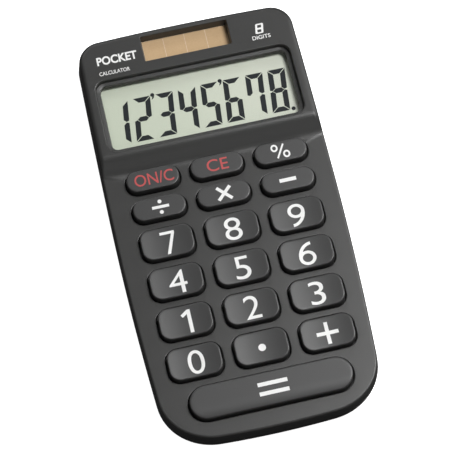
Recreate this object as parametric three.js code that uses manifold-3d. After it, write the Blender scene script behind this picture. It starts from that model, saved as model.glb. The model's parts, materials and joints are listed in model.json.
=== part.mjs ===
// Pocket calculator with a raised display head, a solar cell and nineteen keys.
// Millimetres. +X to the right, +Y towards the display, +Z out of the key face.
// The origin is under the middle of the body, on the plane its rubber feet stand on.

import * as THREE from "three";
import { mergeVertices } from "three/addons/utils/BufferGeometryUtils.js";
import Module from "manifold-3d";

const wasm = await Module();
wasm.setup();

// ---------------------------------------------------------------- driving dimensions
const BODY_WIDTH = 64.3;
const BODY_LENGTH = 122.6;
const DECK_Z = 9.4; // key deck
const HEAD_Z = 12.4; // top of the raised display head
const PARTING_Z = 5.0; // where the two shells meet
const FOOT_STANDOFF = 0.6; // rear shell to the plane it stands on
const SHELL_WALL = 1.5; // side walls of both shells
const DECK_WALL = 1.6; // front shell under the keys and in the head
const FLOOR_WALL = 1.4; // rear shell
const SEAM_GAP = 0.15; // visible seam between the shells

const SIDE_NARROWING = 1.75; // each side draws in by this towards the bottom end
const TOP_NARROWING = 0.35; // and by this towards the top end
const TAPER_FROM_TOP = 54.7; // widest place
const BOTTOM_CORNER = 13.9;
const TOP_CORNER = 7;
const BOTTOM_ARCH = 280; // radius of the bottom edge
const TOP_ARCH = 700; // radius of the top edge
const WALL_DRAFT = 0.11; // inward lean of the front shell's walls, per mm of height
const HEAD_EDGE = 1.8; // rounding along the edge of the head
const REAR_EDGE = 2.6; // rounding along the edge of the rear shell, inwards
const REAR_EDGE_HEIGHT = 4; // the same, upwards
const REAR_INNER_EDGE = 1.2; // the same inside the rear shell
const TONGUE_HEIGHT = 0.8;
const TONGUE_CLEARANCE = 0.1;

const KEY_WIDTH = 14.8;
const KEY_DEPTH = 9.1;
const KEY_CORNER = 3;
const KEY_SPACING_X = 3.4;
const KEY_SPACING_Y = 2.58;
const KEY_RISE = 2; // key top above the deck
const KEY_TRAVEL = 1;
const KEY_GAP = 0.35; // cap to case, all round
const KEY_EDGE = 0.5; // chamfer at the top of a cap
const KEY_WALL = 1.2;
const OPERATOR_EXTRA_WIDTH = 0.2;
const OPERATOR_DEPTH = 6.5;
const OPERATOR_SPACING_Y = 2.37;
const EQUALS_SHORTER = 6.7; // equals bar against the full width of the three columns
const EQUALS_DEPTH = 9.3;
const KEYPAD_X = 0.25; // keypad's centre line to the body's
const EQUALS_FROM_END = 10.5; // equals bar's centre line to the bottom end
const FLANGE_OVERHANG = 0.6; // flange beyond the hole that holds the key in
const FLANGE_THICKNESS = 0.7;
const FLANGE_CLEARANCE = 0.2;
const STEM_RADIUS = 1.9;

const SHEET_THICKNESS = 0.5;
const DOME_HEIGHT = 1.1;
const DOME_RADIUS = 3.4;
const DOME_TOP_RADIUS = 2.2;
const DOME_WALL = 0.4;
const BOARD_THICKNESS = 1.2;
const BOARD_INSET = SHELL_WALL + 0.4; // board edge inside the body outline
const STACK_CLEARANCE = 0.1; // between pieces that lie on each other

const DISPLAY_FROM_TOP = 25.15; // display centre line to the top end
const DISPLAY_WIDTH = 56.4; // opening in the head's surface
const DISPLAY_DEPTH = 22.4;
const DISPLAY_CORNER = 3;
const BEZEL_STEP = 1.3; // the opening narrows by this on each side
const BEZEL_UPPER_DEPTH = 1.4;
const BEZEL_TOTAL_DEPTH = 2.7;
const RIM_WALL = 1.1; // wall round the display and solar openings
const WINDOW_THICKNESS = 0.8;
const WINDOW_LAP = 1.5; // window beyond the opening it closes
const FILM_THICKNESS = 0.15;
const LCD_GLASS = 0.85; // each of the cell's two plates
const LCD_LEDGE = 2.2; // contact ledge where the front plate runs on
const HOLDER_WALL = 1.2; // along the display's long sides
const HOLDER_CLEARANCE = 0.15; // holder to the shell's sides
const HOLDER_LEDGE = 2.4;
const HEAD_SLOPE_LENGTH = 6.6; // from the deck up to the head
const HEAD_FRONT_MARGIN = 0.3; // top of that slope to the display opening

const SOLAR_FROM_TOP = 6.6;
const SOLAR_WIDTH = 25.2;
const SOLAR_DEPTH = 7.8;
const SOLAR_TAPER = 0.3; // the opening narrows by this on each side
const SOLAR_LAP = 0.45;
const SOLAR_GLASS = 1.1;
const SOLAR_PAD_THICKNESS = 1;
const POCKET_CLEARANCE = 0.1; // solar cell to the pocket it sits in, all round

const CASE_SCREW = { radius: 1, headRadius: 1.9, headHeight: 1.2, length: 5.8 };
const BOARD_SCREW = { radius: 0.8, headRadius: 1.25, headHeight: 0.9, length: 2.8 };
const SCREW_CLEARANCE = 0.1; // screw to its hole, on the radius
const CASE_BOSS_RADIUS = 2;
const BOARD_BOSS_RADIUS = 1.3;
const WELL_FLOOR = 1.2; // rear shell under a case screw's head
const WELL_DEPTH = 1.8; // rear face to the screw head's seat
const WELL_WALL = 0.9;
const TOP_SCREW_INSET = 5.6; // from the side and from the end
const LOWER_SCREW_INSET_X = 7.05;
const LOWER_SCREW_FROM_END = 13;

const FOOT_RADIUS = 4;
const FOOT_RECESS = 0.5;
const FOOT_CLEARANCE = 0.15;
const FOOT_INSET_X = 10.5;
const FOOT_INSET_TOP = 15.5;
const FOOT_INSET_BOTTOM = 21;
const PANEL_WIDTH = 34;
const PANEL_DEPTH = 16;
const PANEL_RECESS = 0.3;

const BATTERY_RADIUS = 5.8;
const BATTERY_HEIGHT = 3.05;
const BATTERY_X = -19;
const BATTERY_CLEARANCE = 0.25;
const BATTERY_RING_WALL = 1;
const CONTACT_THICKNESS = 0.25;
const CONTACT_WIDTH = 3;
const CAPACITOR_RADIUS = 2;
const CAPACITOR_LENGTH = 7;
const WIRE_RADIUS = 0.45;

// ---------------------------------------------------------------- derived levels and places
const CORNER_STEPS = 2; // facets of a round corner, in pairs
const OUTLINE_STEPS = 6; // facets of each curve in the body outline
const ROUND_STEPS = 12;
const TOP_Y = BODY_LENGTH / 2;
const BOTTOM_Y = -BODY_LENGTH / 2;
const REAR_Z = FOOT_STANDOFF;
const FLOOR_Z = REAR_Z + FLOOR_WALL;
const DECK_UNDER_Z = DECK_Z - DECK_WALL;
const FLANGE_TOP_Z = DECK_UNDER_Z - FLANGE_CLEARANCE;
const FLANGE_Z = FLANGE_TOP_Z - FLANGE_THICKNESS;
const KEY_TOP_Z = DECK_Z + KEY_RISE;
const SHEET_TOP_Z = FLANGE_Z - KEY_TRAVEL - FLANGE_CLEARANCE;
const SHEET_Z = SHEET_TOP_Z - SHEET_THICKNESS;
const DOME_TOP_Z = Math.min(SHEET_TOP_Z + DOME_HEIGHT, FLANGE_Z - STACK_CLEARANCE);
const BOARD_TOP_Z = SHEET_Z - STACK_CLEARANCE / 2;
const BOARD_Z = BOARD_TOP_Z - BOARD_THICKNESS;

const PITCH_X = KEY_WIDTH + KEY_SPACING_X;
const PITCH_Y = KEY_DEPTH + KEY_SPACING_Y;
const EQUALS_Y = BOTTOM_Y + EQUALS_FROM_END;
const FIRST_ROW_Y = EQUALS_Y + (EQUALS_DEPTH + KEY_DEPTH) / 2 + KEY_SPACING_Y;
const OPERATOR_Y = FIRST_ROW_Y + 3 * PITCH_Y + (KEY_DEPTH + OPERATOR_DEPTH) / 2 + KEY_SPACING_Y;
const FUNCTION_Y = OPERATOR_Y + OPERATOR_DEPTH + OPERATOR_SPACING_Y;
const KEYPAD_WIDTH = 2 * PITCH_X + KEY_WIDTH;
const KEYPAD_TOP_Y = FUNCTION_Y + OPERATOR_DEPTH / 2 + KEY_GAP + FLANGE_OVERHANG;
const KEYPAD_BOTTOM_Y = EQUALS_Y - EQUALS_DEPTH / 2 - KEY_GAP - FLANGE_OVERHANG;

const DISPLAY_Y = TOP_Y - DISPLAY_FROM_TOP;
const SOLAR_Y = TOP_Y - SOLAR_FROM_TOP;
const HEAD_FRONT_Y = DISPLAY_Y - DISPLAY_DEPTH / 2 - HEAD_FRONT_MARGIN;
const SLOPE_FOOT_Y = HEAD_FRONT_Y - HEAD_SLOPE_LENGTH;
const BEZEL_Z = HEAD_Z - BEZEL_TOTAL_DEPTH;
const GLAZED_WIDTH = DISPLAY_WIDTH - 2 * BEZEL_STEP;
const GLAZED_DEPTH = DISPLAY_DEPTH - 2 * BEZEL_STEP;
const WINDOW_TOP_Z = BEZEL_Z - STACK_CLEARANCE;
const WINDOW_Z = WINDOW_TOP_Z - WINDOW_THICKNESS;
const WINDOW_WIDTH = GLAZED_WIDTH + 2 * WINDOW_LAP;
const WINDOW_DEPTH = GLAZED_DEPTH + 2 * WINDOW_LAP;
const POLARISER_TOP_Z = WINDOW_Z - STACK_CLEARANCE / 2;
const LCD_TOP_Z = POLARISER_TOP_Z - FILM_THICKNESS - STACK_CLEARANCE / 2;
const LCD_Z = LCD_TOP_Z - 2 * LCD_GLASS;
const REFLECTOR_TOP_Z = LCD_Z - STACK_CLEARANCE / 2;
const REFLECTOR_Z = REFLECTOR_TOP_Z - FILM_THICKNESS;
const HOLDER_LEDGE_TOP_Z = REFLECTOR_Z - STACK_CLEARANCE / 2;
const HOLDER_Z = HOLDER_LEDGE_TOP_Z - 0.55;
const SOLAR_TOP_Z = BEZEL_Z - STACK_CLEARANCE;
const SOLAR_Z = SOLAR_TOP_Z - SOLAR_GLASS;
const BOARD_TOP_EDGE_Y = DISPLAY_Y - WINDOW_DEPTH / 2 - HOLDER_WALL - 1.4;
const BOARD_BOTTOM_EDGE_Y = KEYPAD_BOTTOM_Y - 1.2;
const BATTERY_Y = DISPLAY_Y - 0.5;
const BATTERY_Z = FLOOR_Z + CONTACT_THICKNESS + STACK_CLEARANCE;
const BATTERY_TOP_Z = BATTERY_Z + BATTERY_HEIGHT;

const KEY_ROWS = [
  ["key_0", "key_point", "key_plus"],
  ["key_1", "key_2", "key_3"],
  ["key_4", "key_5", "key_6"],
  ["key_7", "key_8", "key_9"],
];
const OPERATOR_ROWS = [
  ["key_divide", "key_multiply", "key_minus"],
  ["key_on_clear", "key_clear_entry", "key_percent"],
];

// ---------------------------------------------------------------- materials
function plastic(color, roughness) {
  return new THREE.MeshStandardMaterial({ color, roughness, metalness: 0 });
}

function metal(color, roughness) {
  return new THREE.MeshStandardMaterial({ color, roughness, metalness: 1 });
}

const CASE_GREY = 0x4a4a48;
const KEY_GREY = 0x434343;
const LCD_GREEN = 0xbec6b2;
const SOLAR_TAN = 0xc3a57d;
const BOARD_GREEN = 0x2f5a3a;
const STEEL = 0xb9bcc0;

// ---------------------------------------------------------------- solids
function toSolid(geometry) {
  const bare = geometry.clone();
  bare.deleteAttribute("normal");
  bare.deleteAttribute("uv");
  const merged = mergeVertices(bare, 1e-4);
  const mesh = new wasm.Mesh({
    numProp: 3,
    vertProperties: new Float32Array(merged.attributes.position.array),
    triVerts: new Uint32Array(merged.index.array),
  });
  return new wasm.Manifold(mesh);
}

function toGeometry(solid) {
  const mesh = solid.getMesh();
  const geometry = new THREE.BufferGeometry();
  geometry.setAttribute("position", new THREE.BufferAttribute(mesh.vertProperties, mesh.numProp));
  geometry.setIndex(new THREE.BufferAttribute(mesh.triVerts, 1));
  const flat = geometry.toNonIndexed();
  flat.computeVertexNormals();
  return flat;
}

// A plate of the given outline between two heights.
function slab(shape, zLow, zHigh, x = 0, y = 0, steps = CORNER_STEPS) {
  const options = { depth: zHigh - zLow, bevelEnabled: false, curveSegments: steps };
  return toSolid(new THREE.ExtrudeGeometry(shape, options).translate(x, y, zLow));
}

// The same plate with its top edge, or both edges, drawn in over the last bit of height.
function edgedSlab(shape, zLow, zHigh, inward, height, rounds, steps, x = 0, y = 0) {
  const options = {
    depth: zHigh - zLow - 2 * height,
    bevelEnabled: true,
    bevelSize: inward,
    bevelOffset: -inward,
    bevelThickness: height,
    bevelSegments: rounds,
    curveSegments: steps,
  };
  return toSolid(new THREE.ExtrudeGeometry(shape, options).translate(x, y, zLow + height));
}

function block(width, depth, zLow, zHigh, x = 0, y = 0) {
  const geometry = new THREE.BoxGeometry(width, depth, zHigh - zLow);
  return toSolid(geometry.translate(x, y, (zLow + zHigh) / 2));
}

function post(radius, zLow, zHigh, x, y, sides = ROUND_STEPS) {
  const geometry = new THREE.CylinderGeometry(radius, radius, zHigh - zLow, sides);
  return toSolid(geometry.rotateX(Math.PI / 2).translate(x, y, (zLow + zHigh) / 2));
}

// A round piece turned from (radius, height) pairs that start and end on its axis.
function turned(profile, x, y, z, sides = ROUND_STEPS) {
  const points = profile.map(([radius, height]) => new THREE.Vector2(radius, height));
  const geometry = new THREE.LatheGeometry(points, sides);
  return toSolid(geometry.rotateX(Math.PI / 2).translate(x, y, z));
}

// A prism along X whose outline is drawn with y across and z up.
function prism(profile, width, x = 0, steps = 6) {
  const options = { depth: width, bevelEnabled: false, curveSegments: steps };
  const geometry = new THREE.ExtrudeGeometry(profile, options);
  const across = new THREE.Vector3(0, 1, 0);
  const up = new THREE.Vector3(0, 0, 1);
  const along = new THREE.Vector3(1, 0, 0);
  geometry.applyMatrix4(new THREE.Matrix4().makeBasis(across, up, along));
  return toSolid(geometry.translate(x - width / 2, 0, 0));
}

// A round bar along a smooth curve through the points.
function bar(points, radius, steps, sides = 4) {
  const section = new THREE.Shape();
  section.absarc(0, 0, radius, 0, 2 * Math.PI);
  const path = new THREE.CatmullRomCurve3(points.map((p) => new THREE.Vector3(...p)), false, "centripetal");
  const options = { extrudePath: path, steps, bevelEnabled: false, curveSegments: sides };
  return toSolid(new THREE.ExtrudeGeometry(section, options));
}

function joined(solids) {
  return solids.reduce((whole, piece) => whole.add(piece));
}

function cut(solid, cutters) {
  return cutters.reduce((rest, piece) => rest.subtract(piece), solid);
}

function roundedRectangle(width, depth, corner) {
  const radius = Math.min(corner, width / 2 - 0.1, depth / 2 - 0.1);
  const right = width / 2 - radius;
  const back = depth / 2 - radius;
  const shape = new THREE.Shape();
  shape.absarc(right, -back, radius, -Math.PI / 2, 0);
  shape.absarc(right, back, radius, 0, Math.PI / 2);
  shape.absarc(-right, back, radius, Math.PI / 2, Math.PI);
  shape.absarc(-right, -back, radius, Math.PI, 1.5 * Math.PI);
  return shape;
}

// Body outline seen from the front, moved inwards by the inset: straight sides by the
// display, a slow taper to the bottom end, round corners and slightly arched ends.
function bodyOutline(inset) {
  const ease = 0.5523;
  const side = BODY_WIDTH / 2 - inset;
  const taperY = TOP_Y - TAPER_FROM_TOP;
  const lowRadius = BOTTOM_CORNER - inset;
  const topRadius = TOP_CORNER - inset;
  const lowY = BOTTOM_Y + inset + lowRadius;
  const lowSide = side - SIDE_NARROWING;
  const lean = (2 * SIDE_NARROWING) / (taperY - lowY);
  const lowX = lowSide - lowRadius * (1 + lean);
  const lowRise = lowX ** 2 / (2 * BOTTOM_ARCH);
  const endY = BOTTOM_Y + inset;
  const topX = side - TOP_NARROWING - topRadius;
  const topDrop = topX ** 2 / (2 * TOP_ARCH);
  const crownY = TOP_Y - inset;
  const topSide = side - TOP_NARROWING;
  const shoulderY = crownY - topRadius - topDrop;
  const pull = lowRadius * ease;
  const topPull = topRadius * ease;
  const lowSlope = lowX / BOTTOM_ARCH;
  const topSlope = topX / TOP_ARCH;
  const shape = new THREE.Shape();
  shape.moveTo(-lowX, endY + lowRise);
  shape.quadraticCurveTo(0, endY - lowRise, lowX, endY + lowRise);
  shape.bezierCurveTo(
    lowX + pull, endY + lowRise + pull * lowSlope,
    lowSide - pull * lean, lowY - pull,
    lowSide, lowY,
  );
  shape.quadraticCurveTo(side, (lowY + taperY) / 2, side, taperY);
  shape.quadraticCurveTo(side, (taperY + shoulderY) / 2, topSide, shoulderY);
  shape.bezierCurveTo(
    topSide, shoulderY + topPull,
    topX + topPull, crownY - topDrop - topPull * topSlope,
    topX, crownY - topDrop,
  );
  shape.quadraticCurveTo(0, crownY + topDrop, -topX, crownY - topDrop);
  shape.bezierCurveTo(
    -topX - topPull, crownY - topDrop - topPull * topSlope,
    -topSide, shoulderY + topPull,
    -topSide, shoulderY,
  );
  shape.quadraticCurveTo(-side, (taperY + shoulderY) / 2, -side, taperY);
  shape.quadraticCurveTo(-side, (lowY + taperY) / 2, -lowSide, lowY);
  shape.bezierCurveTo(
    -lowSide + pull * lean, lowY - pull,
    -lowX - pull, endY + lowRise + pull * lowSlope,
    -lowX, endY + lowRise,
  );
  return shape;
}

// ---------------------------------------------------------------- key layout
function keyLayout() {
  const keys = [];
  KEY_ROWS.forEach((names, row) => {
    names.forEach((name, column) => {
      const x = KEYPAD_X + (column - 1) * PITCH_X;
      const y = FIRST_ROW_Y + row * PITCH_Y;
      keys.push({ name, x, y, width: KEY_WIDTH, depth: KEY_DEPTH, corner: KEY_CORNER });
    });
  });
  OPERATOR_ROWS.forEach((names, row) => {
    names.forEach((name, column) => {
      const x = KEYPAD_X + (column - 1) * PITCH_X;
      const y = row === 0 ? OPERATOR_Y : FUNCTION_Y;
      const width = KEY_WIDTH + OPERATOR_EXTRA_WIDTH;
      keys.push({ name, x, y, width, depth: OPERATOR_DEPTH, corner: KEY_CORNER });
    });
  });
  const width = KEYPAD_WIDTH - EQUALS_SHORTER;
  const corner = EQUALS_DEPTH / 2;
  keys.push({ name: "key_equals", x: KEYPAD_X, y: EQUALS_Y, width, depth: EQUALS_DEPTH, corner });
  return keys;
}

const KEYS = keyLayout();

// ---------------------------------------------------------------- screw and foot places
const TOP_SCREW_X = BODY_WIDTH / 2 - TOP_SCREW_INSET;
const TOP_SCREW_Y = TOP_Y - TOP_SCREW_INSET;
const LOWER_SCREW_X = BODY_WIDTH / 2 - LOWER_SCREW_INSET_X;
const LOWER_SCREW_Y = BOTTOM_Y + LOWER_SCREW_FROM_END;
const CASE_SCREWS = [
  [-TOP_SCREW_X, TOP_SCREW_Y],
  [TOP_SCREW_X, TOP_SCREW_Y],
  [-LOWER_SCREW_X, LOWER_SCREW_Y],
  [LOWER_SCREW_X, LOWER_SCREW_Y],
];
const BOARD_SCREW_REACH = KEYPAD_WIDTH / 2 + KEY_GAP + FLANGE_OVERHANG + BOARD_BOSS_RADIUS + 0.15;
const BOARD_SCREWS = [
  [KEYPAD_X - BOARD_SCREW_REACH, OPERATOR_Y],
  [KEYPAD_X + BOARD_SCREW_REACH, OPERATOR_Y],
  [KEYPAD_X - BOARD_SCREW_REACH, FIRST_ROW_Y + 1.5 * PITCH_Y],
  [KEYPAD_X + BOARD_SCREW_REACH, FIRST_ROW_Y + 1.5 * PITCH_Y],
];
const FOOT_X = BODY_WIDTH / 2 - FOOT_INSET_X;
const FEET = [
  [-FOOT_X, TOP_Y - FOOT_INSET_TOP],
  [FOOT_X, TOP_Y - FOOT_INSET_TOP],
  [-FOOT_X, BOTTOM_Y + FOOT_INSET_BOTTOM],
  [FOOT_X, BOTTOM_Y + FOOT_INSET_BOTTOM],
];
const SCREW_SEAT_Z = REAR_Z + WELL_DEPTH;
const WELL_TOP_Z = SCREW_SEAT_Z + WELL_FLOOR;
const CASE_SCREW_END_Z = SCREW_SEAT_Z + CASE_SCREW.length;

// ---------------------------------------------------------------- front shell
// Side view of the head: level on top, with an S-shaped slope down to the deck.
function headProfile(low, drop, back) {
  const shape = new THREE.Shape();
  const front = SLOPE_FOOT_Y + back;
  const crest = HEAD_FRONT_Y + back;
  const reach = HEAD_SLOPE_LENGTH / 2;
  shape.moveTo(front, low);
  shape.lineTo(TOP_Y + 1, low);
  shape.lineTo(TOP_Y + 1, HEAD_Z - drop);
  shape.lineTo(crest, HEAD_Z - drop);
  shape.bezierCurveTo(crest - reach, HEAD_Z - drop, front + reach, DECK_Z - drop, front, DECK_Z - drop);
  return shape;
}

function frontShellOuter() {
  const outline = bodyOutline(0);
  const deckHeight = DECK_Z - PARTING_Z;
  const headHeight = HEAD_Z - PARTING_Z;
  const lower = PARTING_Z - headHeight;
  const above = block(2 * BODY_WIDTH, 2 * BODY_LENGTH, PARTING_Z, HEAD_Z + 1);
  const deck = edgedSlab(
    outline, PARTING_Z - deckHeight, DECK_Z, WALL_DRAFT * deckHeight, deckHeight - 0.01, 1, OUTLINE_STEPS,
  );
  const walls = edgedSlab(
    outline, lower, HEAD_Z, WALL_DRAFT * headHeight, headHeight - 0.01, 1, OUTLINE_STEPS,
  );
  const edge = edgedSlab(
    bodyOutline(WALL_DRAFT * (headHeight - HEAD_EDGE)),
    lower, HEAD_Z, HEAD_EDGE, HEAD_EDGE, 2, OUTLINE_STEPS,
  );
  const head = walls.intersect(edge).intersect(prism(headProfile(lower, 0, 0), 2 * BODY_WIDTH));
  return deck.add(head).intersect(above);
}

function frontShellCavity() {
  const low = PARTING_Z - 1;
  const underDeck = slab(bodyOutline(SHELL_WALL), low, DECK_UNDER_Z, 0, 0, OUTLINE_STEPS);
  const headInset = SHELL_WALL + WALL_DRAFT * (HEAD_Z - PARTING_Z);
  const underHead = slab(bodyOutline(headInset), low, HEAD_Z - DECK_WALL, 0, 0, OUTLINE_STEPS);
  const profile = prism(headProfile(low, DECK_WALL, DECK_WALL / 2), 2 * BODY_WIDTH);
  return underDeck.add(underHead.intersect(profile));
}

function openingCutters() {
  const display = roundedRectangle(DISPLAY_WIDTH, DISPLAY_DEPTH, DISPLAY_CORNER);
  const glazed = roundedRectangle(GLAZED_WIDTH, GLAZED_DEPTH, DISPLAY_CORNER - BEZEL_STEP);
  const solarThroat = block(
    SOLAR_WIDTH - 2 * SOLAR_TAPER, SOLAR_DEPTH - 2 * SOLAR_TAPER, BEZEL_Z - 1, HEAD_Z, 0, SOLAR_Y,
  );
  return [
    slab(display, HEAD_Z - BEZEL_UPPER_DEPTH, HEAD_Z + 1, 0, DISPLAY_Y),
    slab(glazed, BEZEL_Z - 1, HEAD_Z, 0, DISPLAY_Y),
    solarThroat,
    block(SOLAR_WIDTH, SOLAR_DEPTH, HEAD_Z - DECK_WALL, HEAD_Z + 1, 0, SOLAR_Y),
    block(
      SOLAR_WIDTH + 2 * (SOLAR_LAP + POCKET_CLEARANCE), SOLAR_DEPTH + 2 * (SOLAR_LAP + POCKET_CLEARANCE),
      SOLAR_Z - SOLAR_PAD_THICKNESS, BEZEL_Z, 0, SOLAR_Y,
    ),
  ];
}

function frontShell() {
  const rims = [
    slab(
      roundedRectangle(DISPLAY_WIDTH + 2 * RIM_WALL, DISPLAY_DEPTH + 2 * RIM_WALL, DISPLAY_CORNER),
      BEZEL_Z, HEAD_Z - DECK_WALL / 2, 0, DISPLAY_Y,
    ),
    block(
      SOLAR_WIDTH + 2 * RIM_WALL, SOLAR_DEPTH + 2 * RIM_WALL, BEZEL_Z, HEAD_Z - DECK_WALL / 2, 0, SOLAR_Y,
    ),
  ];
  const insideOuter = slab(bodyOutline(SHELL_WALL / 2), PARTING_Z, HEAD_Z, 0, 0, OUTLINE_STEPS);
  const tongueTop = PARTING_Z + TONGUE_HEIGHT + TONGUE_CLEARANCE;
  const rearRoom = slab(
    bodyOutline(SHELL_WALL + TONGUE_CLEARANCE), REAR_Z, tongueTop, 0, 0, OUTLINE_STEPS,
  );
  const bossRoom = rearRoom.add(block(2 * BODY_WIDTH, 2 * BODY_LENGTH, tongueTop - 0.01, HEAD_Z));
  const bosses = CASE_SCREWS.map(([x, y]) => {
    const roof = y > 0 ? HEAD_Z - DECK_WALL / 2 : DECK_Z - DECK_WALL / 2;
    return post(CASE_BOSS_RADIUS, WELL_TOP_Z + STACK_CLEARANCE, roof, x, y).intersect(bossRoom);
  });
  const boardBosses = BOARD_SCREWS.map(([x, y]) => {
    const roof = DECK_Z - DECK_WALL / 2;
    return post(BOARD_BOSS_RADIUS, BOARD_TOP_Z + STACK_CLEARANCE, roof, x, y, 10).intersect(bossRoom);
  });
  const groove = slab(
    bodyOutline((SHELL_WALL - TONGUE_CLEARANCE) / 2),
    PARTING_Z - 1, PARTING_Z + TONGUE_HEIGHT + TONGUE_CLEARANCE, 0, 0, 8,
  );
  const keyHoles = KEYS.map((key) => {
    const shape = roundedRectangle(key.width + 2 * KEY_GAP, key.depth + 2 * KEY_GAP, key.corner + KEY_GAP);
    return slab(shape, DECK_UNDER_Z - 1, DECK_Z + 1, key.x, key.y);
  });
  const caseHoles = CASE_SCREWS.map(([x, y]) => {
    return post(CASE_SCREW.radius + SCREW_CLEARANCE, PARTING_Z - 3, CASE_SCREW_END_Z + 0.2, x, y);
  });
  const boardHoles = BOARD_SCREWS.map(([x, y]) => {
    const end = BOARD_Z + BOARD_SCREW.length + 0.2;
    return post(BOARD_SCREW.radius + SCREW_CLEARANCE, PARTING_Z - 1, end, x, y, 10);
  });
  const hollow = cut(frontShellOuter(), [frontShellCavity(), groove]);
  const fittings = joined([...rims, ...boardBosses]).intersect(insideOuter);
  const shell = joined([hollow, fittings, ...bosses]);
  return cut(shell, [...openingCutters(), ...keyHoles, ...caseHoles, ...boardHoles]);
}

// ---------------------------------------------------------------- rear shell
function screwWell(x, y) {
  const radius = CASE_SCREW.headRadius + 0.3 + WELL_WALL;
  return post(radius, REAR_Z + 0.2, WELL_TOP_Z, x, y);
}

function batteryRing() {
  const inner = BATTERY_RADIUS + BATTERY_CLEARANCE;
  const top = BATTERY_Z + BATTERY_HEIGHT * 0.7;
  const ring = post(inner + BATTERY_RING_WALL, FLOOR_Z - 0.2, top, BATTERY_X, BATTERY_Y, 20);
  const slot = block(
    CONTACT_WIDTH + 1, 2 * inner, FLOOR_Z, top + 1, BATTERY_X, BATTERY_Y - inner,
  );
  return ring.subtract(post(inner, FLOOR_Z, top + 1, BATTERY_X, BATTERY_Y, 20)).subtract(slot);
}

function boardPosts() {
  const posts = [];
  for (const row of [0, 2]) {
    for (const sideways of [-0.5, 0.5]) {
      const x = KEYPAD_X + sideways * PITCH_X;
      const y = FIRST_ROW_Y + (row + 0.5) * PITCH_Y;
      posts.push(post(1.2, FLOOR_Z - 0.2, BOARD_Z - STACK_CLEARANCE, x, y, 10));
    }
  }
  return posts;
}

function rearShell() {
  const top = PARTING_Z - SEAM_GAP;
  const below = block(2 * BODY_WIDTH, 2 * BODY_LENGTH, REAR_Z - 1, top);
  const outer = edgedSlab(
    bodyOutline(0), REAR_Z, 2 * HEAD_Z, REAR_EDGE, REAR_EDGE_HEIGHT, 3, OUTLINE_STEPS,
  );
  const cavity = edgedSlab(
    bodyOutline(SHELL_WALL), FLOOR_Z, 2 * HEAD_Z, REAR_INNER_EDGE, REAR_INNER_EDGE, 1, OUTLINE_STEPS,
  );
  const tongueOuter = slab(
    bodyOutline((SHELL_WALL + TONGUE_CLEARANCE) / 2),
    PARTING_Z - SEAM_GAP - 0.5, PARTING_Z + TONGUE_HEIGHT, 0, 0, 8,
  );
  const inside = slab(bodyOutline(SHELL_WALL), FLOOR_Z + 1, HEAD_Z, 0, 0, OUTLINE_STEPS);
  const shell = outer.intersect(below).subtract(cavity).add(tongueOuter.subtract(inside));
  const wells = CASE_SCREWS.map(([x, y]) => screwWell(x, y).intersect(outer));
  const padUnder = SOLAR_Z - SOLAR_PAD_THICKNESS - 3 * STACK_CLEARANCE;
  const padPost = block(SOLAR_WIDTH / 2, 3, FLOOR_Z - 0.2, padUnder, 0, SOLAR_Y);
  const fitted = joined([shell, ...wells, batteryRing(), ...boardPosts(), padPost]);
  const cutters = CASE_SCREWS.flatMap(([x, y]) => [
    post(CASE_SCREW.headRadius + 0.3, REAR_Z - 1, SCREW_SEAT_Z, x, y),
    post(CASE_SCREW.radius + SCREW_CLEARANCE, REAR_Z - 1, WELL_TOP_Z + 1, x, y),
  ]);
  const recesses = FEET.map(([x, y]) => {
    return post(FOOT_RADIUS + FOOT_CLEARANCE, REAR_Z - 1, REAR_Z + FOOT_RECESS, x, y, 20);
  });
  const panel = slab(roundedRectangle(PANEL_WIDTH, PANEL_DEPTH, 1.5), REAR_Z - 1, REAR_Z + PANEL_RECESS);
  return cut(fitted, [...cutters, ...recesses, panel]);
}

// ---------------------------------------------------------------- keys
// A hollow cap with a flange that stays under the deck and a stem that presses the dome.
function keyCap(key) {
  const shape = roundedRectangle(key.width, key.depth, key.corner);
  const lap = 2 * (KEY_GAP + FLANGE_OVERHANG);
  const flangeShape = roundedRectangle(key.width + lap, key.depth + lap, key.corner + lap / 2);
  const pocketShape = roundedRectangle(
    key.width - 2 * KEY_WALL, key.depth - 2 * KEY_WALL, key.corner - KEY_WALL,
  );
  const height = KEY_TOP_Z - FLANGE_Z;
  const above = block(2 * key.width, 2 * key.depth, FLANGE_Z, KEY_TOP_Z + 1, key.x, key.y);
  const cap = edgedSlab(
    shape, FLANGE_Z - height, KEY_TOP_Z, KEY_EDGE, KEY_EDGE * 1.5, 1, CORNER_STEPS, key.x, key.y,
  ).intersect(above);
  const flange = slab(flangeShape, FLANGE_Z, FLANGE_TOP_Z, key.x, key.y);
  const pocket = slab(pocketShape, FLANGE_Z - 1, KEY_TOP_Z - KEY_WALL, key.x, key.y, 1);
  const stem = post(STEM_RADIUS, FLANGE_Z, KEY_TOP_Z - KEY_WALL / 2, key.x, key.y, 8);
  return cap.add(flange).subtract(pocket).add(stem);
}

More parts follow.
